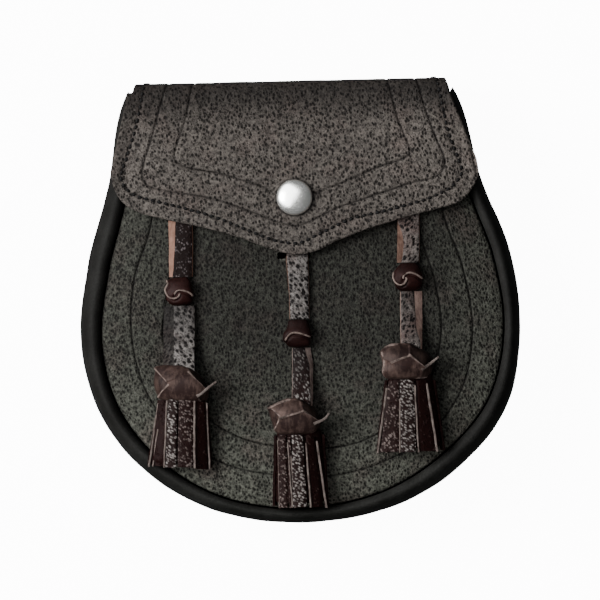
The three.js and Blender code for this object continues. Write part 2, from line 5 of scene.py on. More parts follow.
import bmesh
import bpy
import numpy as np
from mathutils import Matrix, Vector


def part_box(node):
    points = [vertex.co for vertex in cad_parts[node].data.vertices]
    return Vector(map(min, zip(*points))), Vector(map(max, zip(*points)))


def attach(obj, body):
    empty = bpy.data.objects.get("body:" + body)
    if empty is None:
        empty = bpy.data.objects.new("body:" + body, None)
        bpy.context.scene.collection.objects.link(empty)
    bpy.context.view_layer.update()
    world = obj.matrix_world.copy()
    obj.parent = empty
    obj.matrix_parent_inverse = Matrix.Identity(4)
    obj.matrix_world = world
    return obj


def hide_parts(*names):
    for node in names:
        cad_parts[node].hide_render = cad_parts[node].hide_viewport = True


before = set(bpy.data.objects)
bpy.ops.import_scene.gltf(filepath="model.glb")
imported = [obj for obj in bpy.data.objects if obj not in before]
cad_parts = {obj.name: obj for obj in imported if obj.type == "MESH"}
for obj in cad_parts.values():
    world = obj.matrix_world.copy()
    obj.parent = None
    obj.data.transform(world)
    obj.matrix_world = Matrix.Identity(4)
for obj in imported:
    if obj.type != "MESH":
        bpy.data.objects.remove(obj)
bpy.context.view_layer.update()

# Driving sizes of the bag
body_width = 190
body_height = 190.4
depth_bottom = 38
depth_top = 30
band_width = 10
gusset_wall = 1.8
panel_wall = 2.2
panel_crown = 6.2
back_wall = 2.5
back_recess = 7
gap = 0.3

# Driving sizes of the flap
flap_width = 158
flap_drop = 75
flap_wall = 2.5
flap_shift = -1.1
roll_radius = 6.5
tail_width = 116
tail_length = 24

# Driving sizes of the snap fastener
stud_diameter = 15.4
stud_height = 4.2
stud_lip = 0.7
stud_drop = 50.5
stem_diameter = 3.2
socket_diameter = 11

# Driving sizes of the thongs and tassels
thong_width = 10.4
thong_wall = 2.2
slit_margin = 5
knot_length = 11.8
knot_height = 6.4
head_width = 26.6
head_length = 15.3
head_height = 12.6
skirt_width = 21
skirt_height = 9

# Driving sizes of the belt loops
loop_width = 24
loop_opening = 40
loop_wall = 2
loop_foot = 9
loop_spacing = 72
loop_drop = 5.7

# Driving sizes of the sewing and the tooling
stitch_pitch = 2.9
stitch_length = 1.95
thread_width = 1.35
edge_round = 0.9
groove_half = 0.5
line_half = 0.36
flap_groove = 0.5
panel_groove = 0.6

# Sizes worked out from the ones above
half_width = body_width / 2
half_height = body_height / 2
centre_x = -0.0147 * half_width
centre_y = -0.1495 * half_height
front_curl = math.radians(125)
mouth_bearing = 146.5
stand = thong_wall + 2 * gap
roll_start = half_height - roll_radius
roll_inner = roll_radius - flap_wall
loop_level = roll_start - tail_length - loop_drop - loop_opening / 2 - loop_wall - loop_foot

# The rim and the band inside it at bearings from -150 in steps of 20 degrees from straight down:
# shares of half the body's size, and of the band's width
rim_shares = np.array([
    1.383, 1.098, 1.003, 0.984, 0.966, 0.927, 0.887, 0.857, 0.859, 0.899, 0.952, 1.009, 1.017, 1.043,
    1.109, 1.364,
])
band_shares = np.array([
    1.04, 1.02, 1.0, 0.96, 0.91, 0.85, 0.75, 0.69, 0.74, 0.87, 0.98, 0.94, 0.78, 0.84, 0.82, 0.86,
])
# How far inside the seam the panel's two tooled lines run, at the same bearings
outer_line_inset = np.array([
    14, 14.2, 11.4, 13, 13.6, 13.1, 13.4, 13.8, 12.4, 11.4, 10.3, 11.8, 13, 13.5, 14, 14,
])
inner_line_inset = np.array([
    27, 27, 26.6, 26.3, 27.2, 26.7, 26.4, 25.9, 24.5, 23.2, 23.7, 26.3, 26.4, 26.7, 27, 27,
])

# The flap's lower edge, round from its left corner: shares of half its width, and of its drop
flap_edge = np.array([
    (-0.996, 0.503), (-0.985, 0.577), (-0.937, 0.675), (-0.857, 0.733), (-0.694, 0.785), (-0.552, 0.819),
    (-0.324, 0.887), (-0.146, 0.96), (-0.004, 0.999), (0.106, 0.984), (0.222, 0.929), (0.406, 0.859),
    (0.678, 0.779), (0.816, 0.745), (0.91, 0.709), (0.977, 0.624), (1.003, 0.551), (0.995, 0.472),
])
# The flap's left and right sides over its front roll, as angle and shares of half its width
front_sides = np.array([
    (0, -0.901, 0.858), (22, -0.901, 0.854), (25, -0.869, 0.853), (56, -0.861, 0.843), (90, -0.856, 0.838),
])
rear_sides = np.array([(0, -0.835, 0.835), (45, -0.8, 0.8), (90, -0.77, 0.77)])

# Lines on the flap, as across and level in millimetres from the photograph's middle of the body
photo_shift = np.array([-1.4, 0.8])
stitch_line = np.array([
    (-62.9, 94.3), (-65, 84.4), (-67.4, 74.5), (-71.1, 62.9), (-73.9, 53.9), (-71.9, 49.6), (-68.1, 46.5),
    (-60.8, 44.1), (-53.7, 42.2), (-42.3, 39), (-32.4, 35.7), (-18.3, 29.6), (-7.6, 25.4), (1.9, 24.4),
    (10.1, 27.8), (24.1, 34), (39.7, 37.5), (57.8, 42.3), (68.5, 47.7), (72.3, 53.2), (70.9, 59.1),
    (67.2, 69.9), (62.2, 94),
])
outer_tooling = np.array([
    (-54.5, 90.6), (-60.1, 71.3), (-64.8, 55), (-62.8, 50.7), (-53.6, 47.9), (-35.7, 44.4), (-18.1, 38.2),
    (-7.4, 33.6), (0.3, 31.7), (3.8, 32.3), (18.2, 38.9), (32.7, 43.5), (50.8, 49.1), (62.3, 52.1),
    (65.2, 57.7), (61.2, 69.4), (57.1, 81.6), (54.6, 91.6),
])
left_tooling = np.array([
    (-42.8, 91.7), (-45.7, 78.3), (-50.4, 64.6), (-50.4, 61.2), (-46.2, 58.1), (-32, 55.1), (-21.9, 51.9),
    (-12, 48.5),
])
right_tooling = np.array([
    (8.4, 45.6), (18.4, 48.8), (36.7, 56.2), (47.4, 59.6), (50.2, 61.7), (49.7, 65.4), (45.7, 76.3),
    (43.4, 85.4),
    (42, 92),
])


def between(rows, place):
    """Values between table rows at even steps, on a uniform Catmull-Rom curve through them."""
    last = len(rows) - 1
    low = np.clip(np.floor(place), 0, last - 1).astype(int)
    t = place - low
    a, b, c, d = (rows[np.clip(low + k, 0, last)] for k in (-1, 0, 1, 2))
    return b + 0.5 * t * (c - a + t * (2 * a - 5 * b + 4 * c - d + t * (3 * (b - c) + d - a)))


def smooth_line(points, count):
    """Evenly spaced points on a centripetal Catmull-Rom curve through the given ones.

    Each span is a cubic whose end slopes come from the square roots of the distances between points.
    """
    points = np.asarray(points, float)
    padded = np.vstack([2 * points[0] - points[1], points, 2 * points[-1] - points[-2]])
    steps = np.maximum(np.linalg.norm(np.diff(padded, axis=0), axis=1) ** 0.5, 1e-6)[:, None]
    before, span, after = steps[:-2], steps[1:-1], steps[2:]
    p0, p1, p2, p3 = padded[:-3], padded[1:-2], padded[2:-1], padded[3:]
    slope1 = ((p1 - p0) / before - (p2 - p0) / (before + span) + (p2 - p1) / span) * span
    slope2 = ((p2 - p1) / span - (p3 - p1) / (span + after) + (p3 - p2) / after) * span
    t = np.linspace(0, 1, 40, endpoint=False)[None, :, None]
    p1, p2, slope1, slope2 = (v[:, None, :] for v in (p1, p2, slope1, slope2))
    square = 3 * (p2 - p1) - 2 * slope1 - slope2
    cube = 2 * (p1 - p2) + slope1 + slope2
    curve = p1 + t * (slope1 + t * (square + t * cube))
    curve = np.vstack([curve.reshape(-1, points.shape[1]), points[-1]])
    return resample(curve, count)


def resample(curve, count):
    """Evenly spaced points along a polyline, by length."""
    length = np.concatenate([[0], np.cumsum(np.linalg.norm(np.diff(curve, axis=0), axis=1))])
    wanted = np.linspace(0, length[-1], count)
    return np.stack([np.interp(wanted, length, curve[:, k]) for k in range(curve.shape[1])], 1)


def line_length(curve):
    return np.linalg.norm(np.diff(curve, axis=0), axis=1).sum()


def distance_to(line, x, y):
    """The least distance from each point to a polyline: the nearest point of each of its pieces."""
    nearest = np.full(x.shape, np.inf)
    for (ax, ay), (bx, by) in zip(line[:-1], line[1:]):
        dx, dy = bx - ax, by - ay
        share = np.clip(((x - ax) * dx + (y - ay) * dy) / (dx * dx + dy * dy), 0, 1)
        nearest = np.minimum(nearest, np.hypot(x - ax - share * dx, y - ay - share * dy))
    return nearest


def above(a, b, softness):
    """A smooth blend of two heights that never falls below either."""
    return (a + b + np.hypot(a - b, softness)) / 2


def depth_at(y):
    """The bag's depth, which falls evenly from its bottom to its top."""
    return depth_bottom + (depth_top - depth_bottom) * (y + half_height) / body_height


def rim_at(bearing):
    """The rim's and the front seam's radius at a bearing, in shares of half the body's size."""
    place = (bearing + 150) / 20
    rim = between(rim_shares, place)
    return rim, rim - between(band_shares, place) * band_width / half_width


def plan_point(bearing, radius):
    """Across and up from a bearing, in degrees from straight down, and a radius share."""
    turn = np.radians(bearing)
    return centre_x + radius * np.sin(turn) * half_width, centre_y - radius * np.cos(turn) * half_height


def panel_edge(bearing, inset):
    """The panel's outline: the seam below the mouth, and a straight chord across it."""
    side = np.minimum(np.abs(bearing), mouth_bearing)
    seam = rim_at(np.sign(bearing) * side)[1] - inset / half_width
    chord = seam * math.cos(math.radians(mouth_bearing)) / np.cos(
        np.radians(np.maximum(np.abs(bearing), 100))
    )
    return np.where(np.abs(bearing) <= mouth_bearing, seam, chord)


def panel_top(x, y, fullness=2.5, shoulder=0.7):
    """The panel's height: a dome, one less a power of the radius share, that turns down into the seam."""
    u = (x - centre_x) / half_width
    v = (y - centre_y) / half_height
    share = np.minimum(np.hypot(u, v) / panel_edge(np.degrees(np.arctan2(u, -v)), 0), 1)
    return depth_at(y) * (1 + math.sin(front_curl)) / 2 + panel_crown * (1 - share**fullness) ** shoulder


def lay_height(x, y):
    """What the thongs and tassels lie on: the panel, or the gusset's crest at its edge."""
    return above(panel_top(x, y), depth_at(y) + gap / 2, 0.5) + gap


def flap_under(x, y):
    """The underside of the flap, over the thongs and the gusset's crest."""
    return above(panel_top(x, y) + stand, depth_at(y) + gap, 2)


def waves(x, y, length, seed):
    """A hide's slight unevenness: six plane waves of about one length, in seeded directions, -1 to 1."""
    draw = np.random.default_rng(seed)
    total = 0
    for _ in range(6):
        turn, phase, stretch = (
            draw.uniform(0, 2 * math.pi), draw.uniform(0, 2 * math.pi), draw.uniform(0.7, 1.5)
        )
        total = total + np.sin(
            2 * math.pi * (x * math.cos(turn) + y * math.sin(turn)) / (length * stretch) + phase
        )
    return total / 6


def eased(value):
    """A share held between nought and one, and eased at both ends."""
    share = np.clip(value, 0, 1)
    return share * share * (3 - 2 * share)


def groove(distance, half):
    """A tooled groove's section: one at its middle, falling off as a bell."""
    return np.exp(-((distance / half) ** 2))


def rounded(distance, radius, wall):
    """The height of a wall with a rounded edge: a quarter circle over the first stretch from its edge."""
    near = np.clip(distance, 0, radius)
    return wall - radius + np.sqrt(np.maximum(radius**2 - (radius - near) ** 2, 0))


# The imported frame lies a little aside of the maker's frame: the belt loops show how far
loop_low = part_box("left_belt_loop")[0] * 1000
loop_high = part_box("right_belt_loop")[1] * 1000
frame_shift = np.array([(loop_low.x + loop_high.x) / 2, (loop_low.y + loop_high.y) / 2 - loop_level, 0])


def grid_faces(columns, rows, start=0, joined=False):
    """The four-sided faces of a grid of points, closed along its columns if joined."""
    i, j = np.meshgrid(np.arange(columns if joined else columns - 1), np.arange(rows - 1), indexing="ij")
    a = start + i * rows + j
    b = start + (i + 1) % columns * rows + j
    return np.stack([a, b, b + 1, a + 1], -1).reshape(-1, 4)


def border_faces(fine, coarse):
    """Faces between a border of many points and one of few: each few-pointed step takes an equal share."""
    step = (len(fine) - 1) // (len(coarse) - 1)
    k = np.arange(len(coarse) - 1)
    along = np.stack([fine[k * step + n] for n in range(step + 1)], 1)
    return np.hstack([along, coarse[k + 1][:, None], coarse[k][:, None]])


def wall_part(face, under, joined=False):
    """A closed wall between a fine grid and a coarse one: points, face lists, and no finish marks.

    The grids are columns x rows x 3, and the coarse one's steps divide the fine one's. A joined wall
    closes on itself round a pole, where its first rows draw together in a point.
    """
    n, m = face.shape[:2]
    p, q = under.shape[:2]
    fine = np.arange(n * m).reshape(n, m)
    coarse = n * m + np.arange(p * q).reshape(p, q)
    if joined:
        fine_round, coarse_round = (np.vstack([a, a[:1]]) for a in (fine, coarse))
    else:
        fine_round, coarse_round = fine, coarse
    faces = [grid_faces(n, m, 0, joined), grid_faces(p, q, n * m, joined)]
    faces.append(border_faces(fine_round[:, -1], coarse_round[:, -1]))
    if not joined:
        faces.append(border_faces(fine[:, 0], coarse[:, 0]))
        faces += [border_faces(fine[i], coarse[i]) for i in (0, -1)]
    return np.vstack([face.reshape(-1, 3), under.reshape(-1, 3)]), faces, None


def sweep_part(rings, marks=None):
    """A closed section carried along a path: rings are steps x corners x 3, with flat ends."""
    steps, corners = rings.shape[:2]
    grid = np.arange(steps * corners).reshape(steps, corners)
    turned = np.roll(grid, -1, 1)
    sides = np.stack([grid[:-1], turned[:-1], turned[1:], grid[1:]], -1).reshape(-1, 4)
    ends = np.stack([grid[0], grid[-1][::-1]])
    if marks is not None:
        marks = [np.tile(marks, steps - 1), np.full(2, marks[0])]
    return rings.reshape(-1, 3), [sides, ends], marks


def add_piece(name, parts, finishes, node=None, crease=50, shades=None):
    """One object from closed parts: its faces point outwards, it rides on the body and stands for its node.

    shades holds, for the finishes that read them, a value for each point under a name: cut is how far it
    belongs to a raw cut edge; the other holds how dark it is pressed and rubbed, with painted shade and
    painted light.
    """
    points, faces, marks = [], [], []
    start = 0
    for part_points, part_faces, part_marks in parts:
        for k, block in enumerate(part_faces):
            faces += (block + start).tolist()
            marks.append(np.zeros(len(block), int) if part_marks is None else part_marks[k])
        points.append(part_points)
        start += len(part_points)
    mesh = bpy.data.meshes.new(name)
    mesh.from_pydata((np.vstack(points) + frame_shift) / 1000, [], faces)
    mesh.polygons.foreach_set("material_index", np.concatenate(marks).astype(np.int32))
    for finish in finishes:
        mesh.materials.append(finish)
    for shade, values in (shades or {}).items():
        mesh.attributes.new(shade, "FLOAT", "POINT").data.foreach_set("value", values.astype(np.float32))
    shape = bmesh.new()
    shape.from_mesh(mesh)
    bmesh.ops.remove_doubles(shape, verts=shape.verts, dist=1e-6)
    bmesh.ops.recalc_face_normals(shape, faces=shape.faces)
    shape.to_mesh(mesh)
    shape.free()
    mesh.shade_smooth()
    mesh.set_sharp_from_angle(angle=math.radians(crease))
    piece = bpy.data.objects.new(name, mesh)
    bpy.context.scene.collection.objects.link(piece)
    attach(piece, "root")
    if node:
        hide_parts(node)
    return piece


class Finish:
    """A procedural finish: a shader whose colour, roughness and relief come from patterns in Object space."""

    def __init__(self, name):
        self.material = bpy.data.materials.new(name)
        self.material.use_nodes = True
        self.tree = self.material.node_tree
        self.shader = self.tree.nodes["Principled BSDF"]
        self.place = self.node("ShaderNodeTexCoord").outputs["Object"]

    def node(self, kind, **settings):
        made = self.tree.nodes.new(kind)
        for key, value in settings.items():
            setattr(made, key, value)
        return made

    def join(self, source, target):
        self.tree.links.new(source, target)

    def stretched(self, scale, place=None):
        """The place with each axis scaled by its own amount."""
        mapping = self.node("ShaderNodeMapping")
        mapping.inputs["Scale"].default_value = scale
        self.join(place or self.place, mapping.inputs["Vector"])
        return mapping.outputs["Vector"]

    def noise(self, size, detail=3, rough=0.55, place=None):
        """Cloudy noise whose blotches are about size millimetres across."""
        made = self.node("ShaderNodeTexNoise")
        made.inputs["Scale"].default_value = 1000 / size
        made.inputs["Detail"].default_value = detail
        made.inputs["Roughness"].default_value = rough
        self.join(place or self.place, made.inputs["Vector"])
        return made.outputs["Fac"]

    def cells(self, size, place=None, feature="F1", smooth=0.0):
        """Rounded cells about size millimetres across: the distance from each cell's middle."""
        made = self.node("ShaderNodeTexVoronoi", feature="SMOOTH_F1" if smooth else feature)
        made.inputs["Scale"].default_value = 1000 / size
        if smooth:
            made.inputs["Smoothness"].default_value = smooth
        self.join(place or self.place, made.inputs["Vector"])
        return made.outputs["Distance"]

    def ramp(self, value, low, high, start=0.0, end=1.0):
        """A value carried from low..high to start..end, held at its ends."""
        made = self.node("ShaderNodeMapRange")
        for key, number in (("From Min", low), ("From Max", high), ("To Min", start), ("To Max", end)):
            made.inputs[key].default_value = number
        self.join(value, made.inputs["Value"])
        return made.outputs["Result"]

    def calc(self, operation, a, b):
        made = self.node("ShaderNodeMath", operation=operation)
        for socket, value in zip(made.inputs, (a, b)):
            if isinstance(value, (int, float)):
                socket.default_value = value
            else:
                self.join(value, socket)
        return made.outputs["Value"]

    def blend(self, share, a, b):
        """A colour between two, each a triple or a socket."""
        made = self.node("ShaderNodeMix", data_type="RGBA")
        for name, value in (("A", a), ("B", b)):
            socket = [s for s in made.inputs if s.name == name and s.type == "RGBA"][0]
            if isinstance(value, tuple):
                socket.default_value = (*value, 1)
            else:
                self.join(value, socket)
        self.join(share, made.inputs["Factor"])
        return [s for s in made.outputs if s.type == "RGBA"][0]

    def shaded(self, colour, value):
        """A colour made lighter or darker by a value."""
        made = self.node("ShaderNodeVectorMath", operation="SCALE")
        if isinstance(colour, tuple):
            made.inputs[0].default_value = colour
        else:
            self.join(colour, made.inputs[0])
        self.join(value, made.inputs["Scale"])
        return made.outputs["Vector"]

    def wandered(self, size, reach):
        """The place moved about by noise of one size, by up to a reach, both in millimetres."""
        noise = self.node("ShaderNodeTexNoise")
        noise.inputs["Scale"].default_value = 1000 / size
        noise.inputs["Detail"].default_value = 2
        self.join(self.place, noise.inputs["Vector"])
        offset = self.node("ShaderNodeVectorMath", operation="MULTIPLY_ADD")
        self.join(noise.outputs["Color"], offset.inputs[0])
        offset.inputs[1].default_value = (reach / 500,) * 3
        self.join(self.place, offset.inputs[2])
        return offset.outputs["Vector"]

    def leaning(self, place, lean, long):
        """The place turned by an angle, with patterns on it drawn out to so many times their width."""
        turned = self.node("ShaderNodeMapping", vector_type="TEXTURE")
        turned.inputs["Rotation"].default_value = (0, 0, math.radians(lean))
        turned.inputs["Scale"].default_value = (1, long, 1)
        self.join(place, turned.inputs["Vector"])
        return turned.outputs["Vector"]

    def burnished_and_shaded(self, colour, dark=(0.0035, 0.003, 0.003)):
        """A colour darkened where the leather is burnished and where shade is painted, both marked on its
        points.
        """
        mark = self.node("ShaderNodeAttribute", attribute_name="burnish_and_shade").outputs["Fac"]
        return self.blend(mark, colour, dark)

    def relief(self, height, depth, strength=1.0):
        """Relief of so many millimetres between a height of nought and one."""
        made = self.node("ShaderNodeBump")
        made.inputs["Distance"].default_value = depth / 1000
        made.inputs["Strength"].default_value = strength
        self.join(height, made.inputs["Height"])
        self.join(made.outputs["Normal"], self.shader.inputs["Normal"])

    def colour(self, value):
        self.join(value, self.shader.inputs["Base Color"])

    def roughness(self, value):
        self.join(value, self.shader.inputs["Roughness"])

    def constant(self, **values):
        for key, value in values.items():
            self.shader.inputs[key.replace("_", " ")].default_value = value


def pitted_leather(
    name, face, pit, patch, size, relief, gloss,
    low=0.2, high=0.42, lean=15, long=1.4, shine=0.04, small_pits=0.6
):
    """Grained leather: dark pits between low and high shares of a cell, in a lively mid-toned face."""
    f = Finish(name)
    place = f.leaning(f.wandered(size * 1.3, size * 0.3), lean, long)
    cells = f.cells(size, place)
    small = f.cells(size * 0.6, place)
    pits = f.calc(
        "MAXIMUM", f.ramp(cells, low, high, 1, 0), f.ramp(small, low * 0.7, high * 0.9, small_pits, 0)
    )
    fine = f.noise(size * 0.6, 3, 0.7)
    cloud = f.noise(size * 1.6, 3, 0.6)
    lively = f.ramp(f.calc("ADD", fine, cloud), 0.75, 1.25, 0.3, 1.6)
    patches = f.ramp(f.noise(13, 3), 0.48, 0.72)
    tone = f.shaded(f.blend(patches, face, patch), lively)
    f.colour(f.burnished_and_shaded(f.blend(pits, tone, pit)))
    f.roughness(f.ramp(fine, 0.3, 0.7, gloss + 0.1, gloss - 0.06))
    f.relief(f.calc("SUBTRACT", f.calc("MULTIPLY", f.calc("ADD", fine, cloud), 0.6), pits), relief)
    f.constant(Specular_IOR_Level=shine)
    return f.material


def glinting_leather(name, face, glint, size, relief, gloss, reach, bare=0.4, lean=40, long=1.8, shine=0.04):
    """Dark glazed leather with painted highlights: bright slanted glints on its grain, each on a small raised
    bead.

    reach is how wide a glint grows, as a share of a cell, and bare the share of the face without any.
    """
    f = Finish(name)
    cells = f.cells(size, f.leaning(f.wandered(size * 2, size * 0.25), lean, long))
    glints = f.ramp(cells, reach * 0.5, reach, 1, 0)
    fine = f.noise(size * 0.6, 3, 0.65)
    cloud = f.ramp(f.noise(size * 2.5, 3, 0.65), bare, bare + 0.2)
    tone = f.shaded(face, f.ramp(fine, 0.3, 0.7, 0.5, 1.5))
    f.colour(f.burnished_and_shaded(f.blend(f.calc("MULTIPLY", glints, cloud), tone, glint)))
    f.roughness(f.ramp(fine, 0.3, 0.7, gloss + 0.1, gloss - 0.06))
    f.relief(f.calc("ADD", glints, f.calc("MULTIPLY", fine, 0.7)), relief)
    f.constant(Specular_IOR_Level=shine)
    return f.material


def smooth_leather(name, light, dark, gloss, grain=0.55, relief=0.05, shine=0.5):
    """Fine-grained leather: a hair-fine grain, faint long creases and a soft change of tone."""
    f = Finish(name)
    fine = f.noise(grain, 4, 0.6)
    creases = f.noise(7, 4, 0.6)
    speckle = f.ramp(f.noise(1.1, 4, 0.7), 0.3, 0.7, 0.6, 1.4)
    f.colour(f.burnished_and_shaded(f.shaded(f.blend(f.ramp(f.noise(14, 4), 0.35, 0.68), dark, light), speckle)))
    f.roughness(f.ramp(creases, 0.3, 0.7, gloss - 0.05, gloss + 0.09))
    f.relief(f.calc("ADD", fine, f.calc("MULTIPLY", creases, 2.2)), relief)
    f.constant(Specular_IOR_Level=shine)
    return f.material


def edged_leather(name, light, dark, pale):
    """Smooth leather with raw cut edges, which are marked on its points."""
    f = Finish(name)
    mark = f.node("ShaderNodeAttribute", attribute_name="cut").outputs["Fac"]
    fine = f.noise(0.6, 4, 0.6)
    creases = f.noise(7, 4, 0.6)
    streaks = f.noise(2.2, 4, 0.65, f.stretched((1, 0.35, 1)))
    tone = f.blend(f.ramp(f.calc("ADD", f.noise(9, 4), streaks), 0.85, 1.2), dark, light)
    edge = f.blend(
        f.ramp(f.noise(2, 3), 0.35, 0.65), tuple(0.3 * v for v in pale), tuple(1.4 * v for v in pale)
    )
    f.colour(f.blend(mark, f.burnished_and_shaded(tone, dark=(0.003, 0.0014, 0.0013)), edge))
    f.roughness(f.calc("ADD", f.ramp(creases, 0.3, 0.7, 0.44, 0.58), f.calc("MULTIPLY", mark, 0.3)))
    f.constant(Specular_IOR_Level=0.06)
    f.relief(f.calc("ADD", fine, f.calc("ADD", streaks, f.calc("MULTIPLY", creases, 1.6))), 0.09)
    return f.material


def cut_leather(name, light, dark):
    """A raw cut edge: matted fibres that run in short streaks."""
    f = Finish(name)
    fibres = f.noise(0.8, 4, 0.7, f.stretched((1, 0.3, 1)))
    tone = f.noise(4, 3)
    f.colour(f.blend(f.ramp(f.calc("ADD", fibres, tone), 0.75, 1.25), dark, light))
    f.roughness(f.ramp(fibres, 0.3, 0.7, 0.72, 0.9))
    f.relief(fibres, 0.12)
    f.constant(Specular_IOR_Level=0.05)
    return f.material


def waxed_thread(name):
    """Dark waxed thread, its two strands twisted."""
    f = Finish(name)
    strands = f.noise(0.45, 2)
    f.colour(f.blend(strands, (0.001, 0.001, 0.001), (0.004, 0.0035, 0.0035)))
    f.roughness(f.ramp(strands, 0.3, 0.7, 0.6, 0.8))
    f.relief(strands, 0.08)
    f.constant(Specular_IOR_Level=0.1)
    return f.material


def satin_nickel(name):
    """Satin nickel, tumbled: fine scuffs and a soft change of gloss."""
    f = Finish(name)
    scuffs = f.noise(0.5, 4, 0.7)
    tarnish = f.noise(5, 3)
    f.colour(f.blend(f.ramp(tarnish, 0.35, 0.7), (0.9, 0.9, 0.86), (0.98, 0.98, 0.95)))
    f.roughness(f.ramp(f.calc("ADD", scuffs, tarnish), 0.7, 1.3, 0.2, 0.3))
    f.relief(scuffs, 0.02)
    f.constant(Metallic=0.9)
    return f.material


flap_leather = pitted_leather(
    "flap leather", (0.114, 0.1, 0.0885), (0.012, 0.0105, 0.0095), (0.112, 0.0915, 0.081),
    1.4, 0.32, 0.6, 0.23, 0.45
)
panel_leather = pitted_leather(
    "panel leather", (0.083, 0.085, 0.07), (0.01, 0.01, 0.0085), (0.084, 0.072, 0.062),
    1.25, 0.3, 0.64, 0.22, 0.52
)
gusset_leather = smooth_leather(
    "gusset leather", (0.0185, 0.0185, 0.017), (0.008, 0.008, 0.0071), 0.66, 0.5, 0.08, 0.05
)
back_leather = smooth_leather(
    "back leather", (0.026, 0.024, 0.022), (0.015, 0.0135, 0.0125), 0.6, 0.8, 0.09, 0.15
)
thong_dim = pitted_leather(
    "thong leather", (0.14, 0.122, 0.112), (0.002, 0.0012, 0.0012), (0.085, 0.056, 0.05),
    1.35, 0.25, 0.45, 0.27, 0.47, -35, 1.6
)
thong_bright = pitted_leather(
    "pale thong leather", (0.22, 0.202, 0.19), (0.002, 0.0012, 0.0012), (0.15, 0.12, 0.11),
    1.45, 0.3, 0.42, 0.3, 0.5, 42, 1.6
)
# Thong leathers with bright painted glints on a dark face.
thong_glinting = glinting_leather(
    "thong leather with painted glints", (0.01, 0.0035, 0.003), (0.27, 0.245, 0.23), 1.05, 0.25, 0.5, 0.52, 0.36, 30, 1.8
)
# The thong leather painted in shade, for the cut sides of the left thong below its knot.
thong_side_shaded = pitted_leather(
    "thong side leather painted in shade", (0.044, 0.0395, 0.036), (0.003, 0.002, 0.002), (0.037, 0.027, 0.024),
    1.3, 0.25, 0.6, 0.22, 0.5, -45, 2
)
thong_dark = glinting_leather(
    "dark thong leather", (0.004, 0.0016, 0.0013), (0.12, 0.1, 0.1), 1.1, 0.15, 0.6, 0.48, 0.42, 20, 1.2
)
# Copies of one fringe leather with painted glints, painted lit, half lit and in shade.
fringe_lit = glinting_leather(
    "fringe leather painted lit", (0.01, 0.005, 0.0045), (0.25, 0.225, 0.21), 0.92, 0.3, 0.45, 0.54, 0.3, 58, 1.7
)
fringe_half_lit = glinting_leather(
    "fringe leather", (0.009, 0.0036, 0.0032), (0.15, 0.118, 0.108), 1.0, 0.25, 0.45, 0.52, 0.38, 50, 1.4
)
fringe_shaded = glinting_leather(
    "fringe leather painted in shade", (0.006, 0.0015, 0.0013), (0.05, 0.03, 0.026), 1.3, 0.2, 0.55, 0.4, 0.5, 45, 1.3
)
knot_leather = smooth_leather(
    "knot leather", (0.013, 0.0036, 0.003), (0.003, 0.0009, 0.0008), 0.5, 0.8, 0.12, 0.06
)
head_leather = edged_leather(
    "head leather", (0.094, 0.0605, 0.0505), (0.019, 0.0102, 0.009), (0.16, 0.12, 0.105)
)
cut_edge = cut_leather("cut edge", (0.25, 0.145, 0.108), (0.14, 0.076, 0.055))
brown_edge = cut_leather("brown cut edge", (0.12, 0.072, 0.054), (0.04, 0.02, 0.014))
# A cut edge painted lit, against the shade on the cut sides of the right thong below its knot.
painted_lit_tan_edge = cut_leather("tan cut edge painted lit", (0.3, 0.21, 0.178), (0.13, 0.082, 0.067))
knot_edge = cut_leather("knot edge", (0.23, 0.178, 0.155), (0.06, 0.042, 0.036))
fringe_edge = cut_leather("fringe edge", (0.2, 0.165, 0.148), (0.05, 0.036, 0.032))
# A cut edge painted lit, against the shade on the cut sides of the middle thong below its knot.
painted_lit_edge = cut_leather("cut edge painted lit", (0.25, 0.195, 0.175), (0.08, 0.053, 0.046))
thread = waxed_thread("waxed thread")
nickel = satin_nickel("satin nickel")


def gusset_point(bearing, along, wall):
    """The gusset: an ellipse carried round the bag, curled in to its front seam and its back one."""
    rim, seam = rim_at(bearing)
    reach = (rim - seam) * half_width / (1 - math.cos(front_curl))
    outer_y = plan_point(bearing, rim)[1]
    depth = depth_at(outer_y)
    back_curl = math.pi - np.arcsin(1 - 2 * back_recess / depth)
    turn = front_curl - along * (front_curl + back_curl)
    inward = reach - (reach - wall) * np.cos(turn)
    x, y = plan_point(bearing, rim - inward / half_width)
    return np.stack([x, y, depth / 2 + (depth / 2 - wall) * np.sin(turn)], -1)


def with_rest(values, under):
    """Values on a wall's fine face, and nought on its coarse one."""
    return np.concatenate([values.reshape(-1), np.zeros(under.shape[0] * under.shape[1])])


def make_gusset():
    """The soft band: the gusset's formula on a fine grid, with slight waves in its outer face."""
    crevice = 0.02
    steps = np.concatenate([[0, 0.008, 0.017, 0.027, 0.038, 0.052, 0.07, 0.092], np.linspace(0.12, 1, 41)])
    bearing, along = np.meshgrid(np.linspace(-mouth_bearing, mouth_bearing, 721), steps, indexing="ij")
    ripple = 0.16 * waves(bearing * 1.6, along * 70, 26, 5) + 0.06 * waves(bearing * 1.6, along * 70, 9, 6)
    ripple *= np.sin(math.pi * along)
    face = gusset_point(bearing, along, ripple + 0.1 + 0.7 * groove(along, crevice))
    under = gusset_point(bearing[::8, ::4], along[::8, ::4], gusset_wall)
    outermost = math.degrees(front_curl) / 275
    # Painted shade on the band: in its front crevice, over its outer side and underside, more on the left,
    # and at its sides
    left_side = eased(-bearing / 40)
    under_rim = (0.5 + 0.3 * left_side) * eased((along - 0.55 * outermost) / (0.4 * outermost))
    sides = 0.42 * eased((np.abs(bearing) - 30) / 40)
    burnish_and_shade = np.max([(0.35 + 0.3 * left_side) * groove(along, crevice), under_rim, sides], 0)
    add_piece(
        "gusset_band", [wall_part(face, under)], [gusset_leather], "gusset",
        shades={"burnish_and_shade": with_rest(burnish_and_shade, under)},
    )


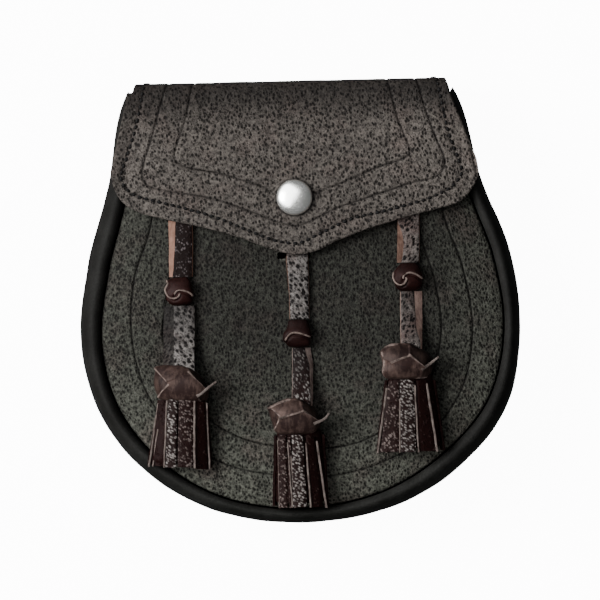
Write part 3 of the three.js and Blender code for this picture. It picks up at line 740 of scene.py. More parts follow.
def ring_levels():
    """Radii of the panel's rings: from its middle out to its inner line, its outer line and its seam.

    Whole numbers are the middle, the two lines and the seam, and rings crowd together beside each.
    """
    near = np.linspace(-1.5, 1.5, 11)
    inner = 1 + np.where(near < 0, near / 52, near / 13)
    outer = 2 + near / 13
    last = 3 - np.array([2.6, 2.0, 1.5, 1.1, 0.75, 0.5, 0.3, 0.15, 0.05, 0]) / 13
    gaps = [np.linspace(0, inner[0], 36)[:-1], inner, np.linspace(inner[-1], outer[0], 12)[1:-1], outer]
    return np.concatenate(gaps + [np.linspace(outer[-1], last[0], 10)[1:-1], last])


def panel_painted_light(x, y):
    """Painted light on the panel, 0 to 1: least in its middle, more to its sides, most at its bottom."""
    low, right, left = eased((-10 - y) / 75), eased((x - 52) / 36), eased((-x - 40) / 30)
    return np.minimum(0.28 + 0.62 * low + 0.4 * right + 0.17 * left, 1)


def make_front_panel():
    """The domed panel on rings that follow its tooled lines, each line a groove pressed into the dome."""
    stations = 720
    levels = ring_levels()
    bearing, level = np.meshgrid(np.linspace(-180, 180, stations, endpoint=False), levels, indexing="ij")
    edge = panel_edge(bearing, gap)
    place = (np.clip(bearing, -150, 150) + 150) / 20
    outer = edge - between(outer_line_inset, place) / half_width
    inner = edge - between(inner_line_inset, place) / half_width
    middle_ring = inner + (level - 1) * (outer - inner)
    outer_ring = outer + (level - 2) * (edge - outer)
    radius = np.where(level < 1, level * inner, np.where(level < 2, middle_ring, outer_ring))
    x, y = plan_point(bearing, radius)
    from_inner = np.abs(radius - inner) * half_width
    from_outer = np.abs(radius - outer) * half_width
    height = panel_top(x, y, 2.5, 0.55)
    height -= panel_groove * (groove(from_inner, groove_half) + groove(from_outer, groove_half))
    height += 0.14 * waves(x, y, 24, 11) * (1 - np.clip(radius / edge, 0, 1) ** 6)
    face = np.stack([x, y, height], -1)
    low_x, low_y = x[::12, ::4], y[::12, ::4]
    under = np.stack([low_x, low_y, panel_top(low_x, low_y) - panel_wall], -1)
    pressed = np.maximum(groove(from_inner, line_half), groove(from_outer, line_half))
    from_edge = (edge - radius) * half_width
    # The tooled lines are pressed dark; the band along the seam is painted shade, and painted light lifts the
    # sides and bottom.
    marks = np.maximum(0.9 * pressed, 0.5 * groove(from_edge, 0.5))
    burnish_and_shade = 1 - (1 - marks) * panel_painted_light(x, y)
    panel = add_piece(
        "domed_panel", [wall_part(face, under, True)], [panel_leather], "front_panel",
        shades={"burnish_and_shade": with_rest(burnish_and_shade, under)},
    )
    cut_slits(panel)


# The three thongs and tassels: where each leaves its slit, is knotted, gathers in its head and ends, as
# shares of half the body from the flap's middle line, and how far its slit lies above the exit
tassels = [
    {"name": "left", "exit": (-0.518, 0.374), "tuck": 0.09, "width": 1.077,
     "knot": (-0.531, 0.059), "head": (-0.515, -0.356), "hem": (-0.544, -0.737)},
    {"name": "middle", "exit": (0.008, 0.208), "tuck": 0.016, "width": 0.885,
     "knot": (-0.004, -0.142), "head": (-0.002, -0.512), "hem": (-0.002, -0.928)},
    {"name": "right", "exit": (0.513, 0.351), "tuck": 0.09, "width": 1.0,
     "knot": (0.503, 0.101), "head": (0.505, -0.277), "hem": (0.499, -0.692)},
]

# Each thong's edges across, at levels up the body: left, where its raw side meets its face, and the same
# on the right, for the stretch above the knot and the one below
upper_edges = {
    "left": np.array([(11, -55.5, -54.3, -45.8, -45.4), (15, -55.5, -53.6, -45.6, -45.2),
                      (25, -55.4, -52.9, -45.4, -45.0), (36, -55.3, -52.2, -45.1, -44.8),
                      (46, -55.3, -52.2, -45.1, -44.8)]),
    "middle": np.array([(-8, -4.4, -4.1, 4.0, 4.3), (1, -4.3, -4.0, 4.0, 4.3), (12, -4.9, -4.6, 4.1, 4.4),
                        (19, -5.3, -5.0, 4.1, 4.4), (25, -5.3, -5.0, 4.1, 4.4)]),
    "right": np.array([(14, 42.2, 43.3, 51.5, 51.8), (18, 42.3, 44.7, 51.7, 52.0),
                       (24, 42.5, 45.3, 51.9, 52.2),
                       (29, 42.7, 44.6, 52.0, 52.3), (33, 42.8, 43.1, 52.1, 52.4),
                       (46, 42.9, 43.2, 52.2, 52.5)]),
}
lower_edges = {
    "left": np.array([(-27, -58.9, -54.3, -45.5, -45.2), (-22, -58.8, -54.2, -45.4, -45.1),
                      (-10, -58.4, -54.0, -45.0, -44.7), (0, -57.9, -53.7, -44.7, -44.4)]),
    "middle": np.array([(-45, -4.4, -4.2, 3.9, 4.6), (-41, -4.2, -4.0, 4.0, 4.9), (-34, -3.8, -3.6, 3.9, 5.1),
                        (-27, -3.7, -3.5, 3.7, 5.3), (-21, -3.5, -3.3, 2.1, 4.5)]),
    "right": np.array([(-19, 42.9, 43.1, 51.4, 52.1), (-12, 43.0, 43.2, 49.8, 52.4),
                       (3, 43.4, 43.6, 49.4, 52.8)]),
}

# Knots, heads and skirts: places are (along, across) in millimetres down each one's own line from its
# middle and to the right of it. Pale lines are the cut edges of the leather that the knot is made of.
knot_lines = {
    "left": [
        [(-5.2, -5.0), (-3.6, -4.4), (-1.4, -5.6), (0.6, -5.3), (2.3, -4.0), (2.9, -2.0), (2.2, -0.3),
         (0.9, 0.6)],
        [(1.4, -1.9), (0.0, -1.0), (-0.6, 0.3), (-0.2, 2.4), (0.8, 4.6), (2.3, 6.1)],
    ],
    "middle": [
        [(2.9, -4.9), (1.6, -4.1), (0.3, -2.9), (-0.4, -1.1), (0.2, 2.3), (1.6, 6.0)],
    ],
    "right": [
        [(-2.4, -5.8), (0.0, -6.3), (2.2, -5.3), (3.3, -3.5), (2.7, -1.6), (1.0, -0.6), (0.1, -1.0)],
        [(0.8, -2.1), (-0.9, -1.5), (-1.8, 0.4), (-1.2, 3.2), (0.9, 6.4)],
    ],
}

# A head's silhouette: along, left and right
head_sides = {
    "left": np.array([(-7.65, -9.6, 0.5), (-6.4, -12.7, 3.4), (-4.4, -13.0, 6.4), (-2, -13.2, 8.6),
                      (0.6, -13.2, 10.4),
                      (3.2, -12.6, 11.0), (5.5, -11.5, 10.8), (7.65, -10.2, 9.6)]),
    "middle": np.array([(-7.65, -5.4, 0.2), (-6.5, -8.0, 2.4), (-5.4, -10.6, 4.6), (-3.7, -13.5, 6.8),
                        (-1.7, -13.0, 8.2),
                        (1.8, -12.0, 9.6), (4, -11.4, 9.4), (6, -10.6, 8.6), (7.65, -9.4, 7.6)]),
    "right": np.array([(-7.65, -8.2, 0.5), (-5.9, -11.2, 4.2), (-4, -12.8, 7.0), (-1.9, -12.6, 9.0),
                       (1.2, -11.7, 9.8),
                       (4.3, -12.2, 9.4), (6, -11.6, 8.8), (7.65, -10.6, 8.2)]),
}

# Pale edges on the heads, and the flat facets between them: outline, lift, rise for each millimetre along
# and across, and how much painted shade each takes. The standing strip is a tab that sticks out to the right.
head_edges = {
    "left": [
        [(-5.9, -12.6), (-3.2, -10.0), (-0.8, -7.5)], [(0.8, -6.5), (3.6, -9.2), (6.9, -11.0)],
        [(-5.2, 1.8), (-2.2, 5.4), (0.9, 9.0)], [(6.2, 6.7), (7.5, 8.6)],
    ],
    "middle": [
        [(-7.2, -3.8), (-5.9, -8.0), (-3.6, -12.6)], [(-3.1, -11.1), (-0.1, -8.1)], [(0.8, -8.2),
                                                                                     (5.3, -10.4)],
        [(0.8, -8.2), (-0.6, -3.6), (-2.0, 1.4)], [(-2.4, 1.8), (2.1, 8.7)],
    ],
    "right": [
        [(-6.3, -10.8), (-7.5, -5.6)], [(-3.7, -12.0), (-1.1, -10.9)], [(-0.3, -10.9), (4.9, -11.6)],
        [(0.6, -7.9), (-1.0, -4.2), (-2.3, -0.5)], [(-2.8, -0.5), (2.5, 6.4)], [(7.4, 2.9), (7.2, 8.1)],
    ],
}
head_facets = {
    "left": [
        ([(-6.5, -14), (-0.5, -7.2), (0.9, -6.9), (7.8, -12.5), (4, -16), (-4, -16)], -0.75, (0, 0.1), 0.5),
        ([(-9, 1.6), (-5.2, 1.8), (0.9, 9.0), (1.0, 16), (-9, 16)], -1.6, (0, -0.25), 0.8),
        ([(3.6, 7.4), (0.5, 16), (9, 16), (9, 7.2), (6.4, 6.7)], -1.3, (0, -0.2), 0.7),
        ([(-6.4, -13.6), (-0.4, -7.0), (-4.8, 1.8), (-8.6, 1.6), (-9, -12)], -0.1, (0.12, -0.05), 0.15),
        ([(0.6, -6.7), (-4.9, 1.8), (0.9, 9.2), (4.2, 7.2), (6.2, 6.6), (8.5, 6),
          (8.5, -10)], 0.15, (0.03, 0.02), 0.1),
    ],
    "middle": [
        ([(-3.2, -11.4), (0.2, -7.9), (6, -11), (4, -16), (-3, -16)], -0.8, (0, 0.1), 0.55),
        ([(-9, 1.4), (-2.4, 1.7), (2.2, 8.9), (1.0, 16), (-9, 16)], -1.5, (0, -0.22), 0.75),
        ([(2.4, 8.4), (0.5, 16), (9, 16), (9, 6.6), (6.4, 6.0)], -1.2, (0, -0.2), 0.7),
        ([(-7.2, -3.6), (-3.4, -12.8), (-3.1, -11.2), (0.4, -8.1), (-2.0, 1.5),
          (-6.6, 0.5)], 0.0, (0.14, -0.03), 0.3),
        ([(0.8, -8.3), (-2.2, 1.5), (2.2, 8.8), (6.4, 6.2), (8.5, 5), (8.5, -10.4), (5.4, -10.5)],
         0.15, (0.03, 0.02), 0.35),
    ],
    "right": [
        ([(-9, -0.4), (-2.8, -0.4), (2.6, 6.6), (1.0, 16), (-9, 16)], -1.4, (0, -0.2), 0.65),
        ([(2.6, 6.4), (0.5, 16), (9, 16), (9, 4.6), (6.0, 4.6)], -1.1, (0, -0.18), 0.6),
        ([(-7.6, -5.4), (-6.2, -11.2), (-3.8, -12.8), (-0.8, -11), (0.7, -8), (-2.4, -0.5), (-7, -0.5)],
         -0.1, (0.12, -0.03), 0.6),
        ([(0.6, -8.0), (-2.6, -0.5), (2.6, 6.5), (6.0, 4.9), (8.5, 4), (8.5, -11), (-0.2, -11)],
         0.15, (0.03, 0.02), 0.35),
    ],
}
head_tabs = {
    "left": [(5.0, 5.8), (3.0, 8.4), (0.2, 11.5), (-1.7, 13.8)],
    "middle": [(3.4, 6.2), (2.5, 8.6), (1.2, 11.2), (-0.9, 12.9)],
    "right": [(3.6, 4.6), (1.9, 7.4), (-0.2, 10.2), (-1.7, 12.1)],
}

# A skirt's strips from left to right. A strip on edge shows its cut side: its start along, across at its
# start and at the hem, thickness and how deep its top lies. A flat one shows its face: its start, its left
# and right at the start, the same at the hem, its depth, its lean to the right and its finish: bright, dim
# and dark are the fringe leather painted lit, half lit and in shade.
skirt_edges = {
    "left": [(9.0, -10.6, -13.1, 0.85, 3.4), (20.0, -10.3, -11.4, 0.6, 3.2), (7.6, -6.9, -6.6, 0.75, 1.5),
             (7.0, 4.9, 6.4, 0.9, 0.5), (7.6, 10.0, 12.8, 0.85, 2.8)],
    "middle": [(10.2, -9.0, -9.0, 0.85, 2.6), (11.0, -5.0, -3.6, 0.6, 1.1), (17.0, -3.8, -2.6, 0.6, 0.7),
               (11.6, 2.9, 4.2, 0.75, 0.6), (10.8, 7.4, 10.9, 0.95, 2.2)],
    "right": [(11.4, -10.1, -14.2, 0.95, 3.0), (33.0, -10.1, -10.5, 0.8, 3.3), (16.0, -4.7, -4.7, 0.6, 0.7),
              (10.2, 1.7, 3.2, 0.7, 0.5), (9.6, 6.9, 11.3, 1.0, 1.5)],
}
skirt_faces = {
    "left": [(7.5, -11.0, -7.4, -12.0, -7.0, 3.9, 0.25, "dark"),
             (7.0, -6.4, -2.4, -6.0, -1.4, 0.6, 0.1, "bright"),
             (7.0, -1.8, 4.4, -0.8, 5.9, 0.9, -0.08, "dim"), (7.2, 5.2, 9.6, 6.8, 12.2, 2.4, -0.35, "dark")],
    "middle": [(8.0, -9.2, -5.6, -9.2, -5.4, 2.1, 0.2, "dim"), (9.0, -5.0, -3.4, -4.9, -3.9, 1.5, 0.0, "dim"),
               (8.0, -3.2, 1.5, -3.4, 2.6, 0.5, 0.0, "bright"),
               (8.4, 2.8, 6.6, 4.0, 9.6, 1.9, -0.35, "dark")],
    "right": [(8.6, -9.4, -4.9, -13.2, -5.2, 2.2, 0.2, "dim"),
              (8.0, -4.6, 1.4, -4.3, 2.0, 0.5, 0.0, "bright"),
              (8.4, 2.5, 6.9, 3.2, 10.9, 1.7, -0.3, "dark")],
}


def slit_of(row):
    """A thong's slit in the front panel: its left and right, its low and high edge."""
    x = flap_shift + row["exit"][0] * half_width - slit_margin * 0.3
    low = (row["exit"][1] + row["tuck"]) * half_height - stand
    half = (row["width"] * thong_width + slit_margin) / 2
    return x - half, x + half, low, low + stand


def cut_slits(panel):
    """Cuts each thong's slit right through the panel, as a box taken away from it."""
    corners = np.array([(i, j, k) for i in (0, 1) for j in (0, 1) for k in (0, 1)], float)
    sides = np.array([(0, 1, 3, 2), (4, 6, 7, 5), (0, 4, 5, 1), (2, 3, 7, 6), (0, 2, 6, 4), (1, 5, 7, 3)])
    points = []
    for row in tassels:
        left, right, low, high = slit_of(row)
        lowest = np.array([left, low, depth_top / 2])
        points.append(lowest + corners * np.array([right - left, high - low, depth_bottom]))
    mesh = bpy.data.meshes.new("slit_cutter")
    faces = np.vstack([sides + 8 * k for k in range(len(points))]).tolist()
    mesh.from_pydata((np.vstack(points) + frame_shift) / 1000, [], faces)
    cutter = bpy.data.objects.new("slit_cutter", mesh)
    bpy.context.scene.collection.objects.link(cutter)
    cutting = panel.modifiers.new("slits", "BOOLEAN")
    cutting.operation = "DIFFERENCE"
    cutting.solver = "EXACT"
    cutting.object = cutter
    shown = panel.evaluated_get(bpy.context.evaluated_depsgraph_get())
    cut = bpy.data.meshes.new_from_object(shown)
    panel.modifiers.clear()
    panel.data = cut
    bpy.data.objects.remove(cutter)
    bpy.data.meshes.remove(mesh)


def make_back_panel():
    """The flat back: rings from its middle out to the gusset's back seam, its edge rounded."""
    bearing = np.linspace(-mouth_bearing, mouth_bearing, 361)
    sewn = gusset_point(bearing, np.ones_like(bearing), 0)[:, :2] - (centre_x, centre_y)
    sewn *= 1 - gap / np.linalg.norm(sewn, axis=1)[:, None]
    mouth = np.linspace(sewn[-1], sewn[0], 121)[1:-1]
    outline = np.vstack([sewn, mouth])
    inset = np.array([60, 46, 34, 24, 16, 10, 6, 4.8, 4.4, 4.0, 3.6, 3.2, 2, 1.2, 0.7, 0.35, 0.12, 0])
    share = 1 - inset / np.linalg.norm(outline, axis=1)[:, None]
    share = np.concatenate([np.zeros((len(outline), 1)), share], 1)
    x = centre_x + outline[:, :1] * share
    y = centre_y + outline[:, 1:] * share
    wall = rounded(inset, 0.8, back_wall) - 0.35 * groove(inset - 4, 0.55)
    wall = np.append(back_wall, wall)
    ripple = 0.1 * (1 + waves(x, y, 30, 21)) * (share < 0.93)
    inner_level = back_recess + back_wall
    face = np.stack([x, y, inner_level - wall + ripple], -1)
    low_x, low_y = x[::5, ::3], y[::5, ::3]
    under = np.stack([low_x, low_y, np.full(low_x.shape, inner_level)], -1)
    add_piece("flat_back", [wall_part(face, under, True)], [back_leather], "back_panel")


def unrolled(line):
    """Moves a line's points past the roll's start to where they lie once the flap is flat."""
    past = np.clip((line[:, 1] - roll_start) / roll_radius, 0, 0.98)
    level = np.where(past > 0, roll_start + roll_radius * np.arcsin(past), line[:, 1])
    return np.stack([line[:, 0], level], 1)


def flap_line(points, count, before=0, after=0):
    """A line on the flat flap through photographed points, run on straight past its ends."""
    line = smooth_line(unrolled(points + photo_shift), count)
    first = line[0] + (line[0] - line[1]) / np.linalg.norm(line[0] - line[1]) * before
    last = line[-1] + (line[-1] - line[-2]) / np.linalg.norm(line[-1] - line[-2]) * after
    return np.vstack([first[None], line, last[None]])


flap_columns = 440
fold_start = 73.5
flap_outline = smooth_line(
    np.stack([flap_shift + flap_edge[:, 0] * flap_width / 2, half_height - flap_edge[:, 1] * flap_drop], 1),
    flap_columns + 1,
)
sewn_line = flap_line(stitch_line, 240, 9, 9)
tooled_lines = [
    flap_line(outer_tooling, 160, 12, 12),
    flap_line(left_tooling, 80, 12, 0.1),
    flap_line(right_tooling, 80, 0.1, 12),
]


def flap_relief(x, level, from_edge):
    """The flap's height over its underside: round at the edge, grooved by lines, sunk under stitches."""
    wall = rounded(from_edge, edge_round, flap_wall)
    for line in tooled_lines:
        wall = wall - flap_groove * groove(distance_to(line, x, level), groove_half)
    wall = wall - 0.35 * groove(distance_to(sewn_line, x, level), 0.75)
    from_stud = np.hypot(x - flap_shift, level - (half_height - stud_drop))
    wall = wall - 0.3 * groove(from_stud, stud_diameter * 0.62)
    return wall + 0.12 * waves(x, level, 22, 31) + 0.05 * waves(x, level, 7, 32)


def flap_grid(rows, height, bare=False):
    """Points of the flap from its lower edge over its top to its tail, or if bare what height gives there.

    rows are pairs of a stretch and a value: a share of the way up the front, an angle of the front roll or
    of the rear one, or a run down the back. height(x, level) is what stands over the underside.
    """
    half = flap_width / 2
    share = np.linspace(0, 1, len(flap_outline))
    x, level = [], []
    turned, fallen, run = [], [], []
    for stretch, value in rows:
        sides = rear_sides if stretch in ("fall", "run") else front_sides
        angle = {"up": 0, "run": 90}.get(stretch, value)
        left, right = (np.interp(angle, sides[:, 0], sides[:, k]) for k in (1, 2))
        if stretch == "run":
            left = left + (-tail_width / flap_width - left) * value / tail_length
            right = right + (tail_width / flap_width - right) * value / tail_length
        place = flap_shift + half * (left + (right - left) * share)
        if stretch == "up":
            x.append(flap_outline[:, 0] + (place - flap_outline[:, 0]) * value)
            level.append(flap_outline[:, 1] + (roll_start - flap_outline[:, 1]) * value)
        else:
            x.append(place)
            angles = {"turn": value, "fall": 90 + value, "run": 180}[stretch]
            past = math.radians(angles) * roll_radius + (value if stretch == "run" else 0)
            level.append(np.full(len(share), roll_start + past))
        turned.append(math.radians(value) if stretch == "turn" else 0)
        fallen.append(math.radians({"fall": value, "run": 90}.get(stretch, 0)))
        run.append(value if stretch == "run" else 0)
    x, level = np.stack(x, 1), np.stack(level, 1)
    turned, fallen, run = np.array(turned), np.array(fallen), np.array(run)
    stretch = np.array([name for name, _ in rows])
    tall = height(x, level)
    if bare:
        return tall
    radius = roll_inner + tall
    front_hub = flap_under(x, np.full_like(x, roll_start)) - roll_inner
    rear_hub = back_recess - gap + roll_inner
    front = np.stack([x, level, flap_under(x, np.minimum(level, roll_start)) + tall], -1)
    over = np.stack([x, roll_start + radius * np.sin(turned), front_hub + radius * np.cos(turned)], -1)
    behind = np.stack([x, roll_start + radius * np.cos(fallen) - run, rear_hub - radius * np.sin(fallen)], -1)
    return np.where((stretch == "up")[:, None], front, np.where((stretch == "turn")[:, None], over, behind))


def make_flap():
    """The flap on a fine grid: each column runs from its lower edge over the top to its tail's end."""
    reach = roll_start - flap_outline[:, 1].min()
    rows = [("up", v / reach) for v in (0, 0.1, 0.25, 0.45, 0.7, 1.0)]
    rows += [("up", v) for v in np.linspace(1.4 / reach, 1, 171)]
    rows += [("turn", v) for v in (8, 16, 22, 23, 25, 34, 43, 52, 61, 70, 79, 90)]
    rows += [("fall", v) for v in (3, 20, 40, 60, 75, 90)]
    rows += [("run", v) for v in (4, 9, 14, 16.5, 17.5, 18.5, 21, 23.2, 23.75, 24)]

    def outer(x, level):
        """The relief, with each point's way to the border: the sides, the lower edge or the tail's edge."""
        side = np.minimum(x - x[:1], x[-1:] - x)
        steps = np.hypot(np.diff(x, axis=1, prepend=x[:, :1]), np.diff(level, axis=1, prepend=level[:, :1]))
        gone = np.cumsum(steps, 1)
        return flap_relief(x, level, np.minimum(side, np.minimum(gone, gone[:, -1:] - gone)))

    def rubbed_and_shaded(x, level):
        """How dark the leather is: tooled lines, stitches, painted shade over the fold and round the stud,
        lighter to the right.
        """
        lines = np.max([groove(distance_to(line, x, level), line_half) for line in tooled_lines], 0)
        lines *= 0.78 + 0.3 * waves(x, level, 16, 33)
        sewn = groove(distance_to(sewn_line, x, level), 0.5)
        # Painted shadow: a dark ring round the stud.
        beside_stud = np.hypot(x - flap_shift, level - (half_height - stud_drop)) - stud_diameter / 2
        # Painted shade over the roll at the top, where the leather turns from the light, darker towards the
        # right.
        fold_shade = 0.7 + 0.13 * eased((x - 30) / 35)
        fold_shade = fold_shade * eased((level - fold_start + 1.5) / 19) - 0.1 * eased((level - 91) / 4)
        margin = 0.3 * (1 - eased((x - x[:1] - 2.5) / 2.5))
        marks = np.max([lines, 0.15 * sewn, 0.85 * groove(beside_stud, 0.6), margin], 0)
        # Painted light: the flat of the flap lighter towards its right.
        right_painted_light = 0.7 + 0.22 * eased((x - 18) / 50)
        return 1 - (1 - marks) * (1 - fold_shade) * right_painted_light

    face = flap_grid(rows, outer)
    under = flap_grid(rows, lambda x, level: np.zeros_like(x))[::8, ::4]
    burnish_and_shade = flap_grid(rows, rubbed_and_shaded, True)
    add_piece(
        "tooled_flap", [wall_part(face, under)], [flap_leather], "flap",
        shades={"burnish_and_shade": with_rest(burnish_and_shade, under)},
    )


def flap_place(x, level, lift):
    """Points over the flap's underside at unrolled places, and which way is out there."""
    turn = np.clip((level - roll_start) / roll_radius, 0, math.pi / 2)
    low = np.minimum(level, roll_start)
    base = flap_under(x, low)
    radius = roll_inner + lift
    flat = level <= roll_start
    y = np.where(flat, level, roll_start + radius * np.sin(turn))
    z = np.where(flat, base + lift, base - roll_inner + radius * np.cos(turn))
    step = 0.5
    slope_x = (flap_under(x + step, low) - flap_under(x - step, low)) / (2 * step)
    slope_y = (flap_under(x, low + step) - flap_under(x, low - step)) / (2 * step)
    out = np.stack([
        -slope_x,
        np.where(flat, -slope_y, np.sin(turn)),
        np.where(flat, 1, np.cos(turn)),
    ], -1)
    return np.stack([x, y, z], -1), out / np.linalg.norm(out, axis=-1, keepdims=True)


def stitches(places, directions, ups, length, width, height):
    """Stitches as half-sunk bars, round in section and drawn in at their ends: an ellipsoid of few rings."""
    steps, sides = 5, 6
    t = np.linspace(-1, 1, steps)
    girth = np.sqrt(1 - (0.95 * t) ** 2)
    angle = np.linspace(0, 2 * math.pi, sides, endpoint=False)
    across = np.cross(directions, ups)
    along = directions[:, None, None, :] * (t * length / 2)[None, :, None, None]
    wide = across[:, None, None, :] * (girth[:, None] * np.cos(angle) * width / 2)[None, :, :, None]
    high = ups[:, None, None, :] * (girth[:, None] * np.sin(angle) * height / 2)[None, :, :, None]
    rings = places[:, None, None, :] + along + wide + high
    return [sweep_part(ring) for ring in rings]


def seam_stitches(line, lift):
    """Stitches along an unrolled line on the flap, each as long as the leather lets it show."""
    count = int(line_length(line) / stitch_pitch)
    dots = resample(line, 2 * count + 1)[1::2]
    ahead = resample(line, 8 * count + 1)
    direction = ahead[5::8] - ahead[3::8]
    direction = direction / np.linalg.norm(direction, axis=1)[:, None]
    places, out = flap_place(dots[:, 0], dots[:, 1], lift)
    near, _ = flap_place(dots[:, 0] + direction[:, 0] * 0.3, dots[:, 1] + direction[:, 1] * 0.3, lift)
    run = near - places
    run = run / np.linalg.norm(run, axis=1)[:, None]
    return stitches(places, run, out, stitch_length, thread_width, thread_width * 0.8)


def flat_stitches(start, end, level, down):
    """A straight row of stitches on a level face, from one plan point to another."""
    start, end = np.array(start, float), np.array(end, float)
    count = max(int(np.linalg.norm(end - start) / stitch_pitch), 2)
    share = (np.arange(count) + 0.5) / count
    plan = start + (end - start) * share[:, None]
    places = np.column_stack([plan, np.full(count, level)])
    way = (end - start) / np.linalg.norm(end - start)
    directions = np.tile([way[0], way[1], 0.0], (count, 1))
    ups = np.tile([0.0, 0.0, -1.0 if down else 1.0], (count, 1))
    return stitches(places, directions, ups, stitch_length, thread_width, thread_width * 0.8)


def make_sewing():
    """All the stitches that show: the flap's border, its tail behind, and the belt loops' feet."""
    parts = seam_stitches(sewn_line, flap_wall - 0.05)
    outer_face = back_recess - gap + roll_inner - roll_radius
    tail_level = roll_start - 17.5
    end = tail_width / 2 - 5
    parts += flat_stitches((flap_shift - end, tail_level), (flap_shift + end, tail_level), outer_face, True)
    foot_face = back_recess - gap - loop_wall
    foot_middle = loop_opening / 2 + loop_wall + loop_foot * 0.55
    for side in (-1, 1):
        for up in (-1, 1):
            x = side * loop_spacing / 2
            level = loop_level + up * foot_middle
            half = loop_width / 2 - 2.5
            parts += flat_stitches((x - half, level), (x + half, level), foot_face, True)
    add_piece("sewing", parts, [thread], crease=80)


def turned_part(pairs, sides):
    """A turned form: radius and height pairs carried round an axis, poles closed."""
    angle = np.linspace(0, 2 * math.pi, sides, endpoint=False)
    rings = np.array(pairs)
    radius, height = rings[:, 0], rings[:, 1]
    x = np.cos(angle)[:, None] * radius
    y = np.sin(angle)[:, None] * radius
    points = np.stack([x, y, np.broadcast_to(height, x.shape)], -1)
    return points.reshape(-1, 3), [grid_faces(sides, len(pairs), 0, True)], None


def make_stud():
    """The snap's cap: a low dome with a rolled rim, its stem and its socket, standing square on the flap."""
    place_x, place_y = flap_shift, half_height - stud_drop
    step = 2
    slope_x = (flap_under(place_x + step, place_y) - flap_under(place_x - step, place_y)) / (2 * step)
    slope_y = (flap_under(place_x, place_y + step) - flap_under(place_x, place_y - step)) / (2 * step)
    out = Vector((-slope_x, -slope_y, 1)).normalized()
    turn = np.array(Vector((0, 0, 1)).rotation_difference(out).to_matrix())
    r = stud_diameter / 2
    low = gap + stud_lip
    socket, stem = socket_diameter / 2, stem_diameter / 2
    socket_foot = -flap_wall - stand * 0.42
    recess = 2.2
    pairs = [(0, -flap_wall - gap * 1.5), (recess, -flap_wall - gap * 1.5), (recess, socket_foot)]
    pairs += [(socket - 0.3, socket_foot), (socket, socket_foot + 0.3), (socket, -flap_wall - gap)]
    pairs += [(stem, -flap_wall - gap), (stem, gap), (r * 0.93, gap), (r * 0.96, gap)]
    rim = np.radians(np.linspace(-70, 20, 7))
    lip = stud_lip / 2
    pairs += [(r - lip + lip * math.cos(a), gap + lip + lip * math.sin(a)) for a in rim]
    dome = np.radians(np.linspace(8, 90, 26))
    pairs += [(r * math.cos(a) ** 0.94, low - 0.3 + (stud_height - low + 0.3) * math.sin(a)) for a in dome]
    points, faces, marks = turned_part(pairs, 96)
    centre = np.array([place_x, place_y, flap_under(place_x, place_y) + flap_wall])
    add_piece("stud", [(points @ turn.T + centre, faces, marks)], [nickel], "stud_cap", 60)


def strap_section(left, left_face, right_face, right, wall, crown=0.22):
    """A strap's rings: flat below, its cut sides slanted out to their edges, its face crowned and eased.

    left, left_face, right_face and right are arrays, one value for each ring. The height of the face is the
    wall less a quarter round at its shoulders, plus a crown that falls with the square of the way out.
    """
    def column(x, h):
        return np.stack([x + 0 * left, h + 0 * left], -1)

    ease = 0.28
    corners = [column(left + 0.3, 0.0), column(right - 0.3, 0.0)]
    for t in np.linspace(0, 1, 5):
        side = 0.3 + (wall - 0.3 - ease) * t + 0.1 * math.sin(math.pi * t)
        corners.append(column(right + (right_face - right) * t, side))
    for s in np.linspace(0.94, -0.94, 9):
        x = (left_face + right_face) / 2 + s * (right_face - left_face) / 2
        corners.append(column(x, wall - ease * abs(s) ** 8 + crown * (1 - s * s)))
    for t in np.linspace(1, 0, 5):
        side = 0.3 + (wall - 0.3 - ease) * t + 0.1 * math.sin(math.pi * t)
        corners.append(column(left + (left_face - left) * t, side))
    marks = np.array([0] + [1] * 5 + [0] * 9 + [0] + [1] * 5)
    marks[6:15] = 0
    return np.stack(corners, 1), marks[: len(corners)]


def table_columns(table, place):
    """The columns of a table after its first, at places along its first."""
    return [np.interp(place, table[:, 0], table[:, k]) for k in range(1, table.shape[1])]


class LaidLine:
    """A line in plan between two places of the body: points by length along it and offset to its right."""

    def __init__(self, start, end):
        scale = np.array([half_width, half_height])
        self.start = np.array(start) * scale + (flap_shift, 0)
        run = np.array(end) * scale + (flap_shift, 0) - self.start
        self.length = np.linalg.norm(run)
        self.run = run / self.length
        self.side = np.array([-self.run[1], self.run[0]])

    def plan(self, along, across):
        x = self.start[0] + self.run[0] * along + self.side[0] * across
        y = self.start[1] + self.run[1] * along + self.side[1] * across
        return x, y


